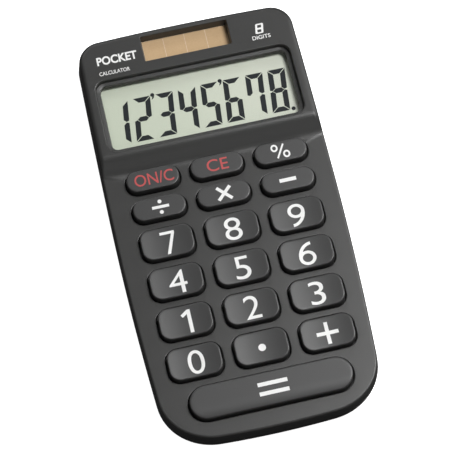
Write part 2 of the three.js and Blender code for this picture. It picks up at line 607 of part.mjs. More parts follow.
// One silicone sheet with a hollow dome under every key.
function domeSheet() {
  const bottom = KEYPAD_BOTTOM_Y - 0.2;
  const depth = KEYPAD_TOP_Y - bottom;
  const width = KEYPAD_WIDTH + 2 * KEY_GAP;
  const middle = (KEYPAD_TOP_Y + bottom) / 2;
  const inside = slab(bodyOutline(BOARD_INSET), SHEET_Z - 1, DECK_Z, 0, 0, 4);
  const plain = slab(roundedRectangle(width, depth, 1), SHEET_Z, SHEET_TOP_Z, KEYPAD_X, middle, 1);
  const sheet = plain.intersect(inside);
  const notches = CASE_SCREWS.slice(2).map(([x, y]) => {
    return post(CASE_BOSS_RADIUS + 0.5, SHEET_Z - 1, SHEET_TOP_Z + 1, x, y);
  });
  const shoulder = SHEET_TOP_Z - 0.1;
  const domes = KEYS.map((key) => {
    const outer = [[0, shoulder], [DOME_RADIUS, shoulder], [DOME_TOP_RADIUS, DOME_TOP_Z], [0, DOME_TOP_Z]];
    return turned(outer, key.x, key.y, 0, 8);
  });
  const hollows = KEYS.map((key) => {
    const inner = [
      [0, SHEET_Z - 1],
      [DOME_RADIUS - DOME_WALL, SHEET_Z - 1],
      [DOME_RADIUS - DOME_WALL, shoulder - 0.1],
      [DOME_TOP_RADIUS - DOME_WALL / 2, DOME_TOP_Z - DOME_WALL],
      [0, DOME_TOP_Z - DOME_WALL],
    ];
    return turned(inner, key.x, key.y, 0, 8);
  });
  return cut(joined([sheet, ...domes]), [...notches, ...hollows]);
}

// ---------------------------------------------------------------- circuit board
function circuitBoard() {
  const outline = slab(bodyOutline(BOARD_INSET), BOARD_Z, BOARD_TOP_Z, 0, 0, 4);
  const length = BOARD_TOP_EDGE_Y - BOARD_BOTTOM_EDGE_Y;
  const middle = (BOARD_TOP_EDGE_Y + BOARD_BOTTOM_EDGE_Y) / 2;
  const span = block(2 * BODY_WIDTH, length, BOARD_Z, BOARD_TOP_Z, 0, middle);
  const notches = CASE_SCREWS.slice(2).map(([x, y]) => {
    return post(CASE_BOSS_RADIUS + 0.5, BOARD_Z - 1, BOARD_TOP_Z + 1, x, y);
  });
  const corners = CASE_SCREWS.slice(2).map(([x, y]) => {
    const reach = BODY_WIDTH / 2;
    const low = BOTTOM_Y - 1;
    const inner = Math.sign(x) * (Math.abs(x) - CASE_BOSS_RADIUS - 0.5 + reach / 2);
    return block(reach, y - low, BOARD_Z - 1, BOARD_TOP_Z + 1, inner, (y + low) / 2);
  });
  const holes = BOARD_SCREWS.map(([x, y]) => {
    return post(BOARD_SCREW.radius + SCREW_CLEARANCE, BOARD_Z - 1, BOARD_TOP_Z + 1, x, y, 10);
  });
  return cut(outline.intersect(span), [...notches, ...corners, ...holes]);
}

function chipCap() {
  const height = BOARD_Z - FLOOR_Z - 0.6;
  const profile = [
    [0, BOARD_Z - height],
    [2.6, BOARD_Z - height + 0.1],
    [4.2, BOARD_Z - height / 2],
    [4.8, BOARD_Z - STACK_CLEARANCE / 2],
    [0, BOARD_Z - STACK_CLEARANCE / 2],
  ];
  return turned(profile, 0, FIRST_ROW_Y + 2 * PITCH_Y, 0, 16);
}

// ---------------------------------------------------------------- screws and feet
function panScrew(size, seat, x, y) {
  const profile = [
    [0, -size.headHeight],
    [size.headRadius * 0.8, -size.headHeight],
    [size.headRadius, -size.headHeight * 0.5],
    [size.headRadius, 0],
    [size.radius, 0],
    [size.radius, size.length - size.radius],
    [0, size.length],
  ];
  const arm = size.headRadius * 1.2;
  const bottom = seat - size.headHeight;
  const recess = [
    block(arm, arm / 4, bottom - 1, bottom + size.headHeight / 2, x, y),
    block(arm / 4, arm, bottom - 1, bottom + size.headHeight / 2, x, y),
  ];
  return cut(turned(profile, x, y, seat, 12), recess);
}

function foot(x, y) {
  const top = REAR_Z + FOOT_RECESS - STACK_CLEARANCE / 2;
  const profile = [[0, 0], [FOOT_RADIUS - 0.4, 0], [FOOT_RADIUS, 0.4], [FOOT_RADIUS, top], [0, top]];
  return turned(profile, x, y, 0, 20);
}

// ---------------------------------------------------------------- display stack
// Two glass plates; the front one runs on past the rear one to carry the contacts.
function lcdCell() {
  const middle = LCD_TOP_Z - LCD_GLASS;
  const width = WINDOW_WIDTH - 0.8;
  const depth = WINDOW_DEPTH - 0.6;
  const front = block(width, depth, middle, LCD_TOP_Z, 0, DISPLAY_Y);
  const rear = block(width, depth - LCD_LEDGE, LCD_Z, middle + 0.01, 0, DISPLAY_Y + LCD_LEDGE / 2);
  return front.add(rear);
}

function film(topZ) {
  const depth = GLAZED_DEPTH + 0.8;
  return block(GLAZED_WIDTH + 1.2, depth, topZ - FILM_THICKNESS, topZ, 0, DISPLAY_Y + LCD_LEDGE / 4);
}

// Open frame that keeps the window and the cell square behind the opening.
function displayHolder() {
  const width = WINDOW_WIDTH + 0.5;
  const depth = WINDOW_DEPTH + 0.5;
  const lean = WALL_DRAFT * (HEAD_Z - PARTING_Z);
  const room = BODY_WIDTH - 2 * (SHELL_WALL + TOP_NARROWING + lean + HOLDER_CLEARANCE);
  const outer = block(room, depth + 2 * HOLDER_WALL, HOLDER_Z, WINDOW_TOP_Z, 0, DISPLAY_Y);
  const pocket = block(width, depth, HOLDER_LEDGE_TOP_Z, HEAD_Z, 0, DISPLAY_Y);
  const light = block(width - 2 * HOLDER_LEDGE, depth - 2 * HOLDER_LEDGE, 0, HEAD_Z, 0, DISPLAY_Y);
  const slot = block(
    width * 0.75, 2 * (HOLDER_WALL + HOLDER_LEDGE), 0, LCD_TOP_Z - LCD_GLASS,
    0, DISPLAY_Y - depth / 2 - HOLDER_WALL,
  );
  return cut(outer, [pocket, light, slot]);
}

// Flat ribbon from the cell's contact ledge down to the board's top edge.
function displayRibbon() {
  const ledgeY = DISPLAY_Y - WINDOW_DEPTH / 2 + 0.3;
  const high = LCD_TOP_Z - LCD_GLASS - STACK_CLEARANCE / 2;
  const low = BOARD_TOP_Z + STACK_CLEARANCE / 2;
  const landing = BOARD_TOP_EDGE_Y - 1.6;
  const edge = BOARD_TOP_EDGE_Y - 0.2;
  const bend = (ledgeY + edge) / 2;
  const thick = FILM_THICKNESS;
  const shape = new THREE.Shape();
  shape.moveTo(landing, low);
  shape.lineTo(edge, low);
  shape.bezierCurveTo(bend + thick, low, bend + thick, high - thick, ledgeY, high - thick);
  shape.lineTo(ledgeY + LCD_LEDGE * 0.7, high - thick);
  shape.lineTo(ledgeY + LCD_LEDGE * 0.7, high);
  shape.lineTo(ledgeY, high);
  shape.bezierCurveTo(bend - thick, high, bend - thick, low + thick, edge, low + thick);
  shape.lineTo(landing, low + thick);
  return prism(shape, WINDOW_WIDTH * 0.55);
}

// ---------------------------------------------------------------- power
function solarCell() {
  const width = SOLAR_WIDTH + 2 * SOLAR_LAP;
  return block(width, SOLAR_DEPTH + 2 * SOLAR_LAP, SOLAR_Z, SOLAR_TOP_Z, 0, SOLAR_Y);
}

function solarPad() {
  const top = SOLAR_Z - STACK_CLEARANCE;
  return block(SOLAR_WIDTH * 0.6, SOLAR_DEPTH * 0.7, top - SOLAR_PAD_THICKNESS, top, 0, SOLAR_Y);
}

function solarWire(side) {
  const x = side * SOLAR_WIDTH * 0.42;
  const run = (FLOOR_Z + HOLDER_Z) / 2;
  const board = BOARD_TOP_EDGE_Y;
  const drop = SOLAR_Y - 2.2;
  const under = BOARD_Z - WIRE_RADIUS - 0.45;
  const entry = BOARD_Z - 0.35;
  const points = [
    [x, SOLAR_Y - 0.6, SOLAR_Z - 0.1],
    [x, SOLAR_Y - 1.2, SOLAR_Z - 1.8],
    [x, drop - 1.4, run + 0.6],
    [x, drop - 4.5, run],
    [x, DISPLAY_Y, run - 0.3],
    [x, board + 5, run - 0.6],
    [x, board + 1.5, under],
    [x, board - 1.6, under],
    [x, board - 2.6, entry],
  ];
  return bar(points, WIRE_RADIUS, 18);
}

function buttonCell() {
  const rim = 0.35;
  const profile = [
    [0, 0],
    [BATTERY_RADIUS - 1.3, 0],
    [BATTERY_RADIUS - 1.3, rim],
    [BATTERY_RADIUS - 0.3, rim],
    [BATTERY_RADIUS, rim + 0.3],
    [BATTERY_RADIUS, BATTERY_HEIGHT - 0.2],
    [BATTERY_RADIUS - 0.2, BATTERY_HEIGHT],
    [0, BATTERY_HEIGHT],
  ];
  return turned(profile, BATTERY_X, BATTERY_Y, BATTERY_Z, 20);
}

// A flat spring strip from the cell's face to the board, drawn in side view.
function contactStrip(level, boardLevel, x) {
  const far = BATTERY_Y + 2;
  const near = BOARD_TOP_EDGE_Y + 1.6;
  const end = BOARD_TOP_EDGE_Y - 1.4;
  const thick = CONTACT_THICKNESS;
  const shape = new THREE.Shape();
  shape.moveTo(far, level);
  shape.lineTo(far, level + thick);
  shape.lineTo(near, level + thick);
  shape.lineTo(end + 1, boardLevel + thick);
  shape.lineTo(end, boardLevel + thick);
  shape.lineTo(end, boardLevel);
  shape.lineTo(end + 1, boardLevel);
  shape.lineTo(near, level);
  return prism(shape, CONTACT_WIDTH, x);
}

function capacitor() {
  const lift = FLOOR_Z + CAPACITOR_RADIUS + 0.2;
  const y = DISPLAY_Y + 2;
  const can = new THREE.CylinderGeometry(CAPACITOR_RADIUS, CAPACITOR_RADIUS, CAPACITOR_LENGTH, 16);
  const body = toSolid(can.translate(0, y, 0).translate(-2, 0, lift));
  const legs = [-0.9, 0.9].map((sideways) => {
    const points = [
      [-2 + sideways, y - CAPACITOR_LENGTH / 2 + 0.5, lift],
      [-2 + sideways, y - CAPACITOR_LENGTH / 2 - 2, lift],
      [-2 + sideways, BOARD_TOP_EDGE_Y + 1.5, BOARD_Z - 0.7],
      [-2 + sideways, BOARD_TOP_EDGE_Y - 1.5, BOARD_Z - 0.5],
    ];
    return bar(points, 0.25, 6, 3);
  });
  return joined([body, ...legs]);
}

// ---------------------------------------------------------------- assembly
const calculator = new THREE.Group();

function addPart(name, solid, material) {
  const mesh = new THREE.Mesh(toGeometry(solid), material);
  mesh.name = name;
  calculator.add(mesh);
}

addPart("front_case", frontShell(), plastic(CASE_GREY, 0.55));
addPart("rear_case", rearShell(), plastic(CASE_GREY, 0.6));
KEYS.forEach((key) => addPart(key.name, keyCap(key), plastic(KEY_GREY, 0.5)));
addPart("dome_sheet", domeSheet(), plastic(0xd8d6cf, 0.7));
addPart("circuit_board", circuitBoard(), plastic(BOARD_GREEN, 0.5));
addPart("chip_cap", chipCap(), plastic(0x141414, 0.35));

const window_ = block(WINDOW_WIDTH, WINDOW_DEPTH, WINDOW_Z, WINDOW_TOP_Z, 0, DISPLAY_Y);
addPart("display_window", window_, plastic(0xdfe6e4, 0.05));
addPart("display_polariser", film(POLARISER_TOP_Z), plastic(LCD_GREEN, 0.4));
addPart("lcd_cell", lcdCell(), plastic(LCD_GREEN, 0.15));
addPart("display_reflector", film(REFLECTOR_TOP_Z), plastic(0xc9ccc4, 0.3));
addPart("display_holder", displayHolder(), plastic(0x2b2b2b, 0.6));
addPart("display_ribbon", displayRibbon(), plastic(0xb98a3d, 0.45));

addPart("solar_cell", solarCell(), plastic(SOLAR_TAN, 0.25));
addPart("solar_pad", solarPad(), plastic(0x3a3a3a, 0.9));
addPart("solar_wire_red", solarWire(1), plastic(0xa02622, 0.5));
addPart("solar_wire_black", solarWire(-1), plastic(0x1b1b1b, 0.5));
addPart("button_cell", buttonCell(), metal(STEEL, 0.3));
const lowStrip = contactStrip(FLOOR_Z + STACK_CLEARANCE / 2, BOARD_Z - 0.35, BATTERY_X);
const highStrip = contactStrip(BATTERY_TOP_Z + 0.05, BOARD_TOP_Z + 0.05, BATTERY_X);
addPart("battery_contact_negative", lowStrip, metal(0xc7b37a, 0.3));
addPart("battery_contact_positive", highStrip, metal(0xc7b37a, 0.3));
addPart("capacitor", capacitor(), plastic(0x20304a, 0.4));

CASE_SCREWS.forEach(([x, y], index) => {
  addPart(`case_screw_${index + 1}`, panScrew(CASE_SCREW, SCREW_SEAT_Z, x, y), metal(STEEL, 0.35));
});
BOARD_SCREWS.forEach(([x, y], index) => {
  const seat = BOARD_Z - STACK_CLEARANCE / 2;
  addPart(`board_screw_${index + 1}`, panScrew(BOARD_SCREW, seat, x, y), metal(STEEL, 0.35));
});
FEET.forEach(([x, y], index) => {
  addPart(`foot_${index + 1}`, foot(x, y), plastic(0x1c1c1c, 0.85));
});

export default calculator;
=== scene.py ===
import json
import math

import bmesh
import bpy
from mathutils import Matrix, Vector, geometry

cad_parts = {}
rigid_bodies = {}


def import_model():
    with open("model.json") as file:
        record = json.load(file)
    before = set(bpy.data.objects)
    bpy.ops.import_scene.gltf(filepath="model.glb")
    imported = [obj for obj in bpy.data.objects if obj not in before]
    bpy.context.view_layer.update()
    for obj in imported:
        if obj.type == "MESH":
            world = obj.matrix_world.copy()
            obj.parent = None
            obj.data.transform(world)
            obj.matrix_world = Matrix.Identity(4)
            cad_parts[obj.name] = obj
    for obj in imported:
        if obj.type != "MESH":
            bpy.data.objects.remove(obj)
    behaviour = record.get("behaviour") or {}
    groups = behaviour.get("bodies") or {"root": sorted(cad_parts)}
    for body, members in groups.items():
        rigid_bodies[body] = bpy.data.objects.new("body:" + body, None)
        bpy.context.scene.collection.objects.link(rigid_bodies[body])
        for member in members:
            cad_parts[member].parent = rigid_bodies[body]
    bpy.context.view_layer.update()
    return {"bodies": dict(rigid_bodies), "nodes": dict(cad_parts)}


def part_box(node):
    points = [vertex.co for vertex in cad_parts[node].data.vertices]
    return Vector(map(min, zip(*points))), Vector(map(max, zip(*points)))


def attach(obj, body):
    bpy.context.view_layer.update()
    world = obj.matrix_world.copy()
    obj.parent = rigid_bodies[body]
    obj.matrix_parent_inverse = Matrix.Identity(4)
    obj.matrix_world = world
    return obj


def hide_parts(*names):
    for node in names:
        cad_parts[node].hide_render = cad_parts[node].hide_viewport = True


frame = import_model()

# ---------------------------------------------------------------- studio
# A pale table top in a light tent. One large soft light hangs above on the right, a weaker one
# behind, a faint one in front and one low on the right. The camera looks steeply down from the
# front left, from the side of the equals key.
MM = 0.001
scene = bpy.context.scene
scene.view_settings.view_transform = "Standard"
scene.view_settings.look = "None"


class Value:
    """An output of a shader node that can be used in sums."""

    def __init__(self, finish, socket):
        self.finish = finish
        self.socket = socket

    def maths(self, operation, left, right):
        return self.finish.node("ShaderNodeMath", {"operation": operation}, {0: left, 1: right})

    def __add__(self, other):
        return self.maths("ADD", self, other)

    __radd__ = __add__

    def __sub__(self, other):
        return self.maths("SUBTRACT", self, other)

    def __rsub__(self, other):
        return self.maths("SUBTRACT", other, self)

    def __mul__(self, other):
        return self.maths("MULTIPLY", self, other)

    __rmul__ = __mul__

    def __gt__(self, other):
        return self.maths("GREATER_THAN", self, other)

    def __lt__(self, other):
        return self.maths("LESS_THAN", self, other)


class Finish:
    """A material made of nodes around one Principled shader."""

    def __init__(self, name, **constants):
        self.material = bpy.data.materials.new(name)
        self.material.use_nodes = True
        self.tree = self.material.node_tree
        self.tree.nodes.clear()
        self.shader = self.tree.nodes.new("ShaderNodeBsdfPrincipled")
        output = self.tree.nodes.new("ShaderNodeOutputMaterial")
        self.tree.links.new(self.shader.outputs["BSDF"], output.inputs["Surface"])
        self.set(**constants)

    def set(self, **sockets):
        for name, value in sockets.items():
            self.feed(self.shader.inputs[name.replace("_", " ")], value)

    def feed(self, socket, value):
        if isinstance(value, Value):
            self.tree.links.new(value.socket, socket)
        elif socket.type == "RGBA" and len(value) == 3:
            socket.default_value = (*value, 1)
        else:
            socket.default_value = value

    def node(self, kind, settings=None, inputs=None, output=0):
        node = self.tree.nodes.new(kind)
        for name, value in (settings or {}).items():
            if name == "stops":
                for stop, (place, shade) in zip(node.color_ramp.elements, value):
                    stop.position = place
                    stop.color = (shade, shade, shade, 1)
            else:
                setattr(node, name, value)
        for name, value in (inputs or {}).items():
            self.feed(node.inputs[name], value)
        return Value(self, node.outputs[output])

    def place(self):
        return self.node("ShaderNodeTexCoord", output="Object")

    def axes(self):
        parts = self.tree.nodes.new("ShaderNodeSeparateXYZ")
        self.tree.links.new(self.place().socket, parts.inputs[0])
        return [Value(self, socket) for socket in parts.outputs]

    def grain(self, size, detail=2, roughness=0.5, stretch=(1, 1, 1)):
        """Noise with specks of about that size in millimetres."""
        spread = self.node("ShaderNodeVectorMath", {"operation": "MULTIPLY"}, {0: self.place(), 1: stretch})
        scale = 1 / (size * MM)
        inputs = {"Vector": spread, "Scale": scale, "Detail": detail, "Roughness": roughness}
        return self.node("ShaderNodeTexNoise", {}, inputs)

    def mix(self, factor, first, second):
        return self.node("ShaderNodeMix", {"data_type": "RGBA"}, {0: factor, 6: first, 7: second}, 2)

    def ramp(self, value, low, high):
        settings = {"stops": [(low, 0), (high, 1)]}
        return self.node("ShaderNodeValToRGB", settings, {0: value})

    def bump(self, height, depth):
        """A relief of that depth in millimetres."""
        return self.node("ShaderNodeBump", {}, {"Height": height, "Distance": depth * MM})


def add_object(name, data):
    piece = bpy.data.objects.new(name, data)
    scene.collection.objects.link(piece)
    return piece


TABLE_REACH = 3.0
floor_finish = Finish("pale_table", Roughness=0.9, Emission_Color=(1, 1, 1), Emission_Strength=1.0)
speckle = floor_finish.grain(3)
floor_finish.set(Base_Color=floor_finish.mix(speckle, (0.84, 0.84, 0.84), (0.9, 0.9, 0.9)))
table_corners = [(-TABLE_REACH, -TABLE_REACH, 0), (TABLE_REACH, -TABLE_REACH, 0)]
table_corners += [(TABLE_REACH, TABLE_REACH, 0), (-TABLE_REACH, TABLE_REACH, 0)]
floor_mesh = bpy.data.meshes.new("table_top")
floor_mesh.from_pydata(table_corners, [], [(0, 1, 2, 3)])
floor_mesh.materials.append(floor_finish.material)
floor = add_object("table_top", floor_mesh)
floor.visible_diffuse = False
floor.visible_glossy = False
floor.visible_shadow = False

camera_data = bpy.data.cameras.new("camera")
camera_data.lens = 140.87
camera_data.sensor_width = 36
camera_data.clip_start = 0.01
camera = add_object("camera", camera_data)
camera.location = (-0.03556, -0.18405, 0.46900)
camera.rotation_euler = (math.radians(21.762), math.radians(0.702), math.radians(-12.809))
scene.camera = camera


def softbox(name, place, width, depth, power):
    """A soft rectangular light that faces the middle of the table."""
    lamp_data = bpy.data.lights.new(name, "AREA")
    lamp_data.shape = "RECTANGLE"
    lamp_data.size = width
    lamp_data.size_y = depth
    lamp_data.energy = power
    lamp = add_object(name, lamp_data)
    lamp.location = place
    lamp.rotation_euler = Vector(place).to_track_quat("Z", "Y").to_euler()


softbox("softbox_right", (0.48, 0.10, 1.0), width=0.42, depth=0.46, power=11)
softbox("softbox_back", (-0.25, 1.3, 1.0), width=1.0, depth=0.5, power=5)
softbox("softbox_front", (0.1, -0.95, 0.85), width=0.8, depth=0.45, power=1.3)
softbox("softbox_side", (1.1, 0.40, 0.40), width=0.5, depth=0.6, power=4)

HORIZON_GLOW = 0.055
ZENITH_GLOW = 0.013
world = bpy.data.worlds.new("light_tent")
world.use_nodes = True
sky = world.node_tree.nodes["Background"]
sky.inputs["Color"].default_value = (1, 1, 1, 1)
direction = world.node_tree.nodes.new("ShaderNodeTexCoord")
height = world.node_tree.nodes.new("ShaderNodeSeparateXYZ")
shade = world.node_tree.nodes.new("ShaderNodeMapRange")
world.node_tree.links.new(direction.outputs["Generated"], height.inputs[0])
world.node_tree.links.new(height.outputs["Z"], shade.inputs["Value"])
shade.inputs["To Min"].default_value = HORIZON_GLOW
shade.inputs["To Max"].default_value = ZENITH_GLOW
world.node_tree.links.new(shade.outputs["Result"], sky.inputs["Strength"])
scene.world = world

# ---------------------------------------------------------------- front shell
# The charcoal moulding with the key deck and the raised display head. Injection-moulded
# plastic with a fine spark-eroded texture, held to the rear shell by four screws from behind.


def corners_of(node):
    """A node's lowest and highest corners, in millimetres."""
    return [Vector(corner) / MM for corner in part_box(node)]


def middle_y(node):
    node_low, node_high = corners_of(node)
    return (node_low.y + node_high.y) / 2


low, high = corners_of("front_case")
PRINT_ROOM = 0.015  # between the head's top and the height of its prints
DECK_Z = 9.4
HEAD_Z = high.z - PRINT_ROOM
PARTING_Z = 5.0
SHELL_WALL = 1.5
DECK_WALL = 1.6
SIDE = (high.x - low.x) / 2
TOP_Y = high.y
BOTTOM_Y = low.y
SIDE_NARROWING = 1.75  # on each side, from the widest place to the bottom corner
TOP_NARROWING = 0.35
WIDEST_Y = TOP_Y - 54.7
BOTTOM_CORNER = 13.9
TOP_CORNER = 7.0
BOTTOM_ARCH = 280.0  # the radius of the end's curve
TOP_ARCH = 700.0
WALL_DRAFT = 0.11  # inwards for each millimetre up
DECK_EDGE = 0.7
HEAD_EDGE = 1.5
INNER_CHAMFER = 0.6
SEAM_LIP = 0.22
SEAM_CHAMFER = 0.07
SEAM_LAND = 0.25
DISPLAY_OPENING = (56.4, 22.4, 3.0)  # width, depth and corner
DISPLAY_Y = middle_y("display_window")
OPENING_EDGE = 0.35
GLASS_ROOM = 0.1
# Steps down the display opening's wall: how far out, how far below the head, how polished and how much
# painted edge highlight.
DISPLAY_STEPS = [
    (-0.10, 1.20, 0), (-0.20, 1.36, 0), (-0.40, 1.42, 0), (-0.95, 1.46, 0.4), (-1.12, 1.52, 1),
    (-1.18, 1.68, 0.4),
]
SILL = 1.30  # how far the opening's sill reaches in over the window
WINDOW_LAP = 1.10  # the room round the window under the head
SOLAR_OPENING = (25.2, 7.8, 0.35)
SOLAR_Y = middle_y("solar_cell")
SOLAR_EDGE = 0.25
SOLAR_SILL = 0.3
SOLAR_LAP = 0.1
SLOPE_RUN = 6.6
DISPLAY_DOWN = 25.15  # from the top end to the display's centre
HEAD_LAND = 0.3  # flat strip between the slope and the display opening
SLOPE_FOOT_Y = TOP_Y - DISPLAY_DOWN - DISPLAY_OPENING[1] / 2 - HEAD_LAND - SLOPE_RUN
SLOPE_TOP_Y = SLOPE_FOOT_Y + SLOPE_RUN
SLOPE_RUNGS = 14
KEY_GAP = 0.35
KEY_HOLE_EDGE = 0.3
KEY_CORNER = 3.0
EQUALS_CORNER = 4.65
FLANGE_OVERHANG = 0.6  # how far a cap's flange laps under the deck


def between(first, last, steps):
    """Even values after the first one, up to and with the last one."""
    return [first + (last - first) * (step + 1) / steps for step in range(steps)]


def cubic(start, pull, push, end, steps):
    """Points along a curve from start to end, leaving towards pull and arriving from push."""
    points = []
    for t in between(0, 1, steps):
        s = 1 - t
        weights = (s ** 3, 3 * s * s * t, 3 * s * t * t, t ** 3)
        points.append(tuple(
            sum(w * p[axis] for w, p in zip(weights, (start, pull, push, end))) for axis in (0, 1)
        ))
    return points


def slope_height(y):
    """0 on the deck and 1 on the head, with an S-shaped slope between them."""
    t = min(max((y - SLOPE_FOOT_Y) / (SLOPE_TOP_Y - SLOPE_FOOT_Y), 0), 1)
    return t * t * (3 - 2 * t)


def body_outline(inset):
    """The outline of the body, drawn in by the inset, anticlockwise from its bottom centre."""
    ease = 0.5523  # makes a quarter round of a cubic curve
    side = SIDE - inset
    low_radius = BOTTOM_CORNER - inset
    top_radius = TOP_CORNER - inset
    low_y = BOTTOM_Y + BOTTOM_CORNER
    low_side = side - SIDE_NARROWING
    lean = 2 * SIDE_NARROWING / (WIDEST_Y - low_y)
    low_x = low_side - low_radius * (1 + lean)
    end_y = BOTTOM_Y + inset
    rise = low_x ** 2 / (2 * BOTTOM_ARCH)
    pull = low_radius * ease
    top_x = side - TOP_NARROWING - top_radius
    drop = top_x ** 2 / (2 * TOP_ARCH)
    crown_y = TOP_Y - inset
    shoulder_y = crown_y - top_radius - drop
    top_pull = top_radius * ease
    half = [(0, end_y)]
    half += [(low_x * t, end_y + rise * t * t) for t in between(0, 1, 6)]
    half += cubic(
        (low_x, end_y + rise), (low_x + pull, end_y + rise + pull * low_x / BOTTOM_ARCH),
        (low_side - pull * lean, low_y - pull), (low_side, low_y), 18,
    )
    side_ys = between(low_y, WIDEST_Y, 9) + between(WIDEST_Y, SLOPE_FOOT_Y, 3)
    side_ys += between(SLOPE_FOOT_Y, SLOPE_TOP_Y, SLOPE_RUNGS) + between(SLOPE_TOP_Y, shoulder_y, 6)
    for y in side_ys:
        if y < WIDEST_Y:
            x = side - SIDE_NARROWING * ((WIDEST_Y - y) / (WIDEST_Y - low_y)) ** 2
        else:
            x = side - TOP_NARROWING * ((y - WIDEST_Y) / (shoulder_y - WIDEST_Y)) ** 2
        half.append((x, y))
    half += cubic(
        (half[-1][0], shoulder_y), (half[-1][0], shoulder_y + top_pull),
        (top_x + top_pull, crown_y - drop - top_pull * top_x / TOP_ARCH), (top_x, crown_y - drop), 14,
    )
    half += [(top_x * (1 - t), crown_y - drop * (1 - t) ** 2) for t in between(0, 1, 6)]
    return half + [(-x, y) for x, y in half[-2:0:-1]]


def rounded(width, depth, corner, x=0, y=0, grow=0, turns=7, along=1, up=1):
    """A rounded rectangle, grown all round, anticlockwise from its right lower corner's start."""
    radius = max(corner + grow, 0.02)
    right = width / 2 + grow - radius
    back = depth / 2 + grow - radius
    points = []
    for (sx, sy), turn, (gone_x, gone_y), length, count in (
        ((1, -1), 3, (0, 1), 2 * back, up), ((1, 1), 0, (-1, 0), 2 * right, along),
        ((-1, 1), 1, (0, -1), 2 * back, up), ((-1, -1), 2, (1, 0), 2 * right, along),
    ):
        for step in range(turns + 1):
            angle = (turn + step / turns) * math.pi / 2
            points.append((sx * right + radius * math.cos(angle), sy * back + radius * math.sin(angle)))
        last_x, last_y = points[-1]
        for step in range(1, count):
            gone = length * step / count
            points.append((last_x + gone_x * gone, last_y + gone_y * gone))
    return [(px + x, py + y) for px, py in points]


def ring(radius, x=0, y=0, steps=40):
    """A circle, anticlockwise from its right."""
    angles = [2 * math.pi * step / steps for step in range(steps)]
    return [(x + radius * math.cos(a), y + radius * math.sin(a)) for a in angles]


def inside(point, loop):
    """Whether a point lies inside a loop, by how many of its edges a level line crosses."""
    x, y = point
    odd = False
    for (ax, ay), (bx, by) in zip(loop, loop[1:] + loop[:1]):
        if (ay > y) != (by > y) and x < ax + (y - ay) * (bx - ax) / (by - ay):
            odd = not odd
    return odd


class Skin:
    """A closed skin put together from loops of points, in millimetres."""

    def __init__(self):
        self.points = []
        self.polish = []
        self.faces = []

    def loop(self, outline, height, polish=0.0):
        """Adds a loop; its height is a number or a rule of (x, y). Returns its point numbers."""
        first = len(self.points)
        for x, y in outline:
            self.points.append((x, y, height(x, y) if callable(height) else height))
            self.polish.append(polish)
        return list(range(first, len(self.points)))

    def bridge(self, lower, upper):
        """Faces between two loops of as many points, seen from outside a right-hand climb."""
        count = len(lower)
        for step in range(count):
            after = (step + 1) % count
            self.faces.append((lower[step], lower[after], upper[after], upper[step]))

    def climb(self, loops):
        for lower, upper in zip(loops, loops[1:]):
            self.bridge(lower, upper)

    def fill(self, outer, holes=(), rungs=(), down=False):
        """Closes a loop, leaving its holes open; rungs are pairs of points joined straight across."""
        numbers = list(outer) + [n for hole in holes for n in hole]
        place = {n: i for i, n in enumerate(numbers)}
        edges = []
        for loop in (outer, *holes):
            edges += [(place[a], place[b]) for a, b in zip(loop, loop[1:] + loop[:1])]
        edges += [(place[a], place[b]) for a, b in rungs]
        flat = [Vector(self.points[n][:2]) for n in numbers]
        verts, _, faces, origins, _, _ = geometry.delaunay_2d_cdt(flat, edges, [], 1, 1e-6, True)
        edge_loop = [self.points[n][:2] for n in outer]
        hole_loops = [[self.points[n][:2] for n in hole] for hole in holes]
        for face in faces:
            middle = sum((verts[i] for i in face), Vector((0, 0))) / len(face)
            if not inside(middle, edge_loop) or any(inside(middle, hole) for hole in hole_loops):
                continue
            corner = [numbers[origins[i][0]] for i in face]
            self.faces.append(tuple(reversed(corner)) if down else tuple(corner))

    def piece(self, name, finish, sharp=40):
        """The skin as a smooth object, sharp where its faces turn by more than that many degrees."""
        mesh = bpy.data.meshes.new(name)
        mesh.from_pydata([Vector(p) * MM for p in self.points], [], self.faces)
        mesh.materials.append(finish.material)
        # A per-point mask of the rounded edges: there the plastic is smoother, and its colour is painted
        # paler as a painted highlight.
        mesh.attributes.new("polish", "FLOAT", "POINT").data.foreach_set("value", self.polish)
        shell = bmesh.new()
        shell.from_mesh(mesh)
        bmesh.ops.remove_doubles(shell, verts=shell.verts, dist=1e-7)
        bmesh.ops.recalc_face_normals(shell, faces=shell.faces)
        shell.to_mesh(mesh)
        shell.free()
        mesh.shade_smooth()
        mesh.set_sharp_from_angle(angle=math.radians(sharp))
        piece = add_object(name, mesh)
        even = piece.modifiers.new("even_normals", "WEIGHTED_NORMAL")
        even.keep_sharp = True
        even.weight = 100
        return piece


def edge_steps(count):
    """(inwards, downwards) shares of a quarter round, from its side up to its top."""
    turns = [math.pi / 2 * step / count for step in range(count + 1)]
    return [(1 - math.cos(turn), 1 - math.sin(turn)) for turn in turns]


FLOW_MARK = 26  # millimetres across
# How much paler the rounded edges are painted: a painted highlight, not the plastic's own colour.
PAINTED_EDGE_SHEEN = 1.35


def moulded(name, colour, dark, roughness, speck, depth):
    """Textured plastic: eroded grain, faint flow marks, and smoother edges whose colour is painted paler as
    a painted highlight.
    """
    finish = Finish(name, IOR=1.49)
    grain = finish.grain(speck, 3, 0.6)
    flow = finish.grain(FLOW_MARK, stretch=(1, 0.35, 1))
    polish = finish.node("ShaderNodeAttribute", {"attribute_name": "polish"}, output="Fac")
    tone = finish.mix(0.55 * grain + 0.45 * flow, dark, colour)
    # The rounded edges are painted paler than the plastic: a painted highlight where the light catches
    # them.
    edge = tuple(PAINTED_EDGE_SHEEN * part for part in colour)
    finish.set(Base_Color=finish.mix(polish * 0.5, tone, edge))
    finish.set(Roughness=roughness + 0.12 * (grain - 0.5) + 0.05 * (flow - 0.5) - 0.1 * polish)
    finish.set(Normal=finish.bump(grain, depth))
    return finish


case_plastic = moulded(
    "charcoal_case_plastic", (0.036, 0.036, 0.035), (0.027, 0.027, 0.0262),
    roughness=0.43, speck=0.35, depth=0.02,
)

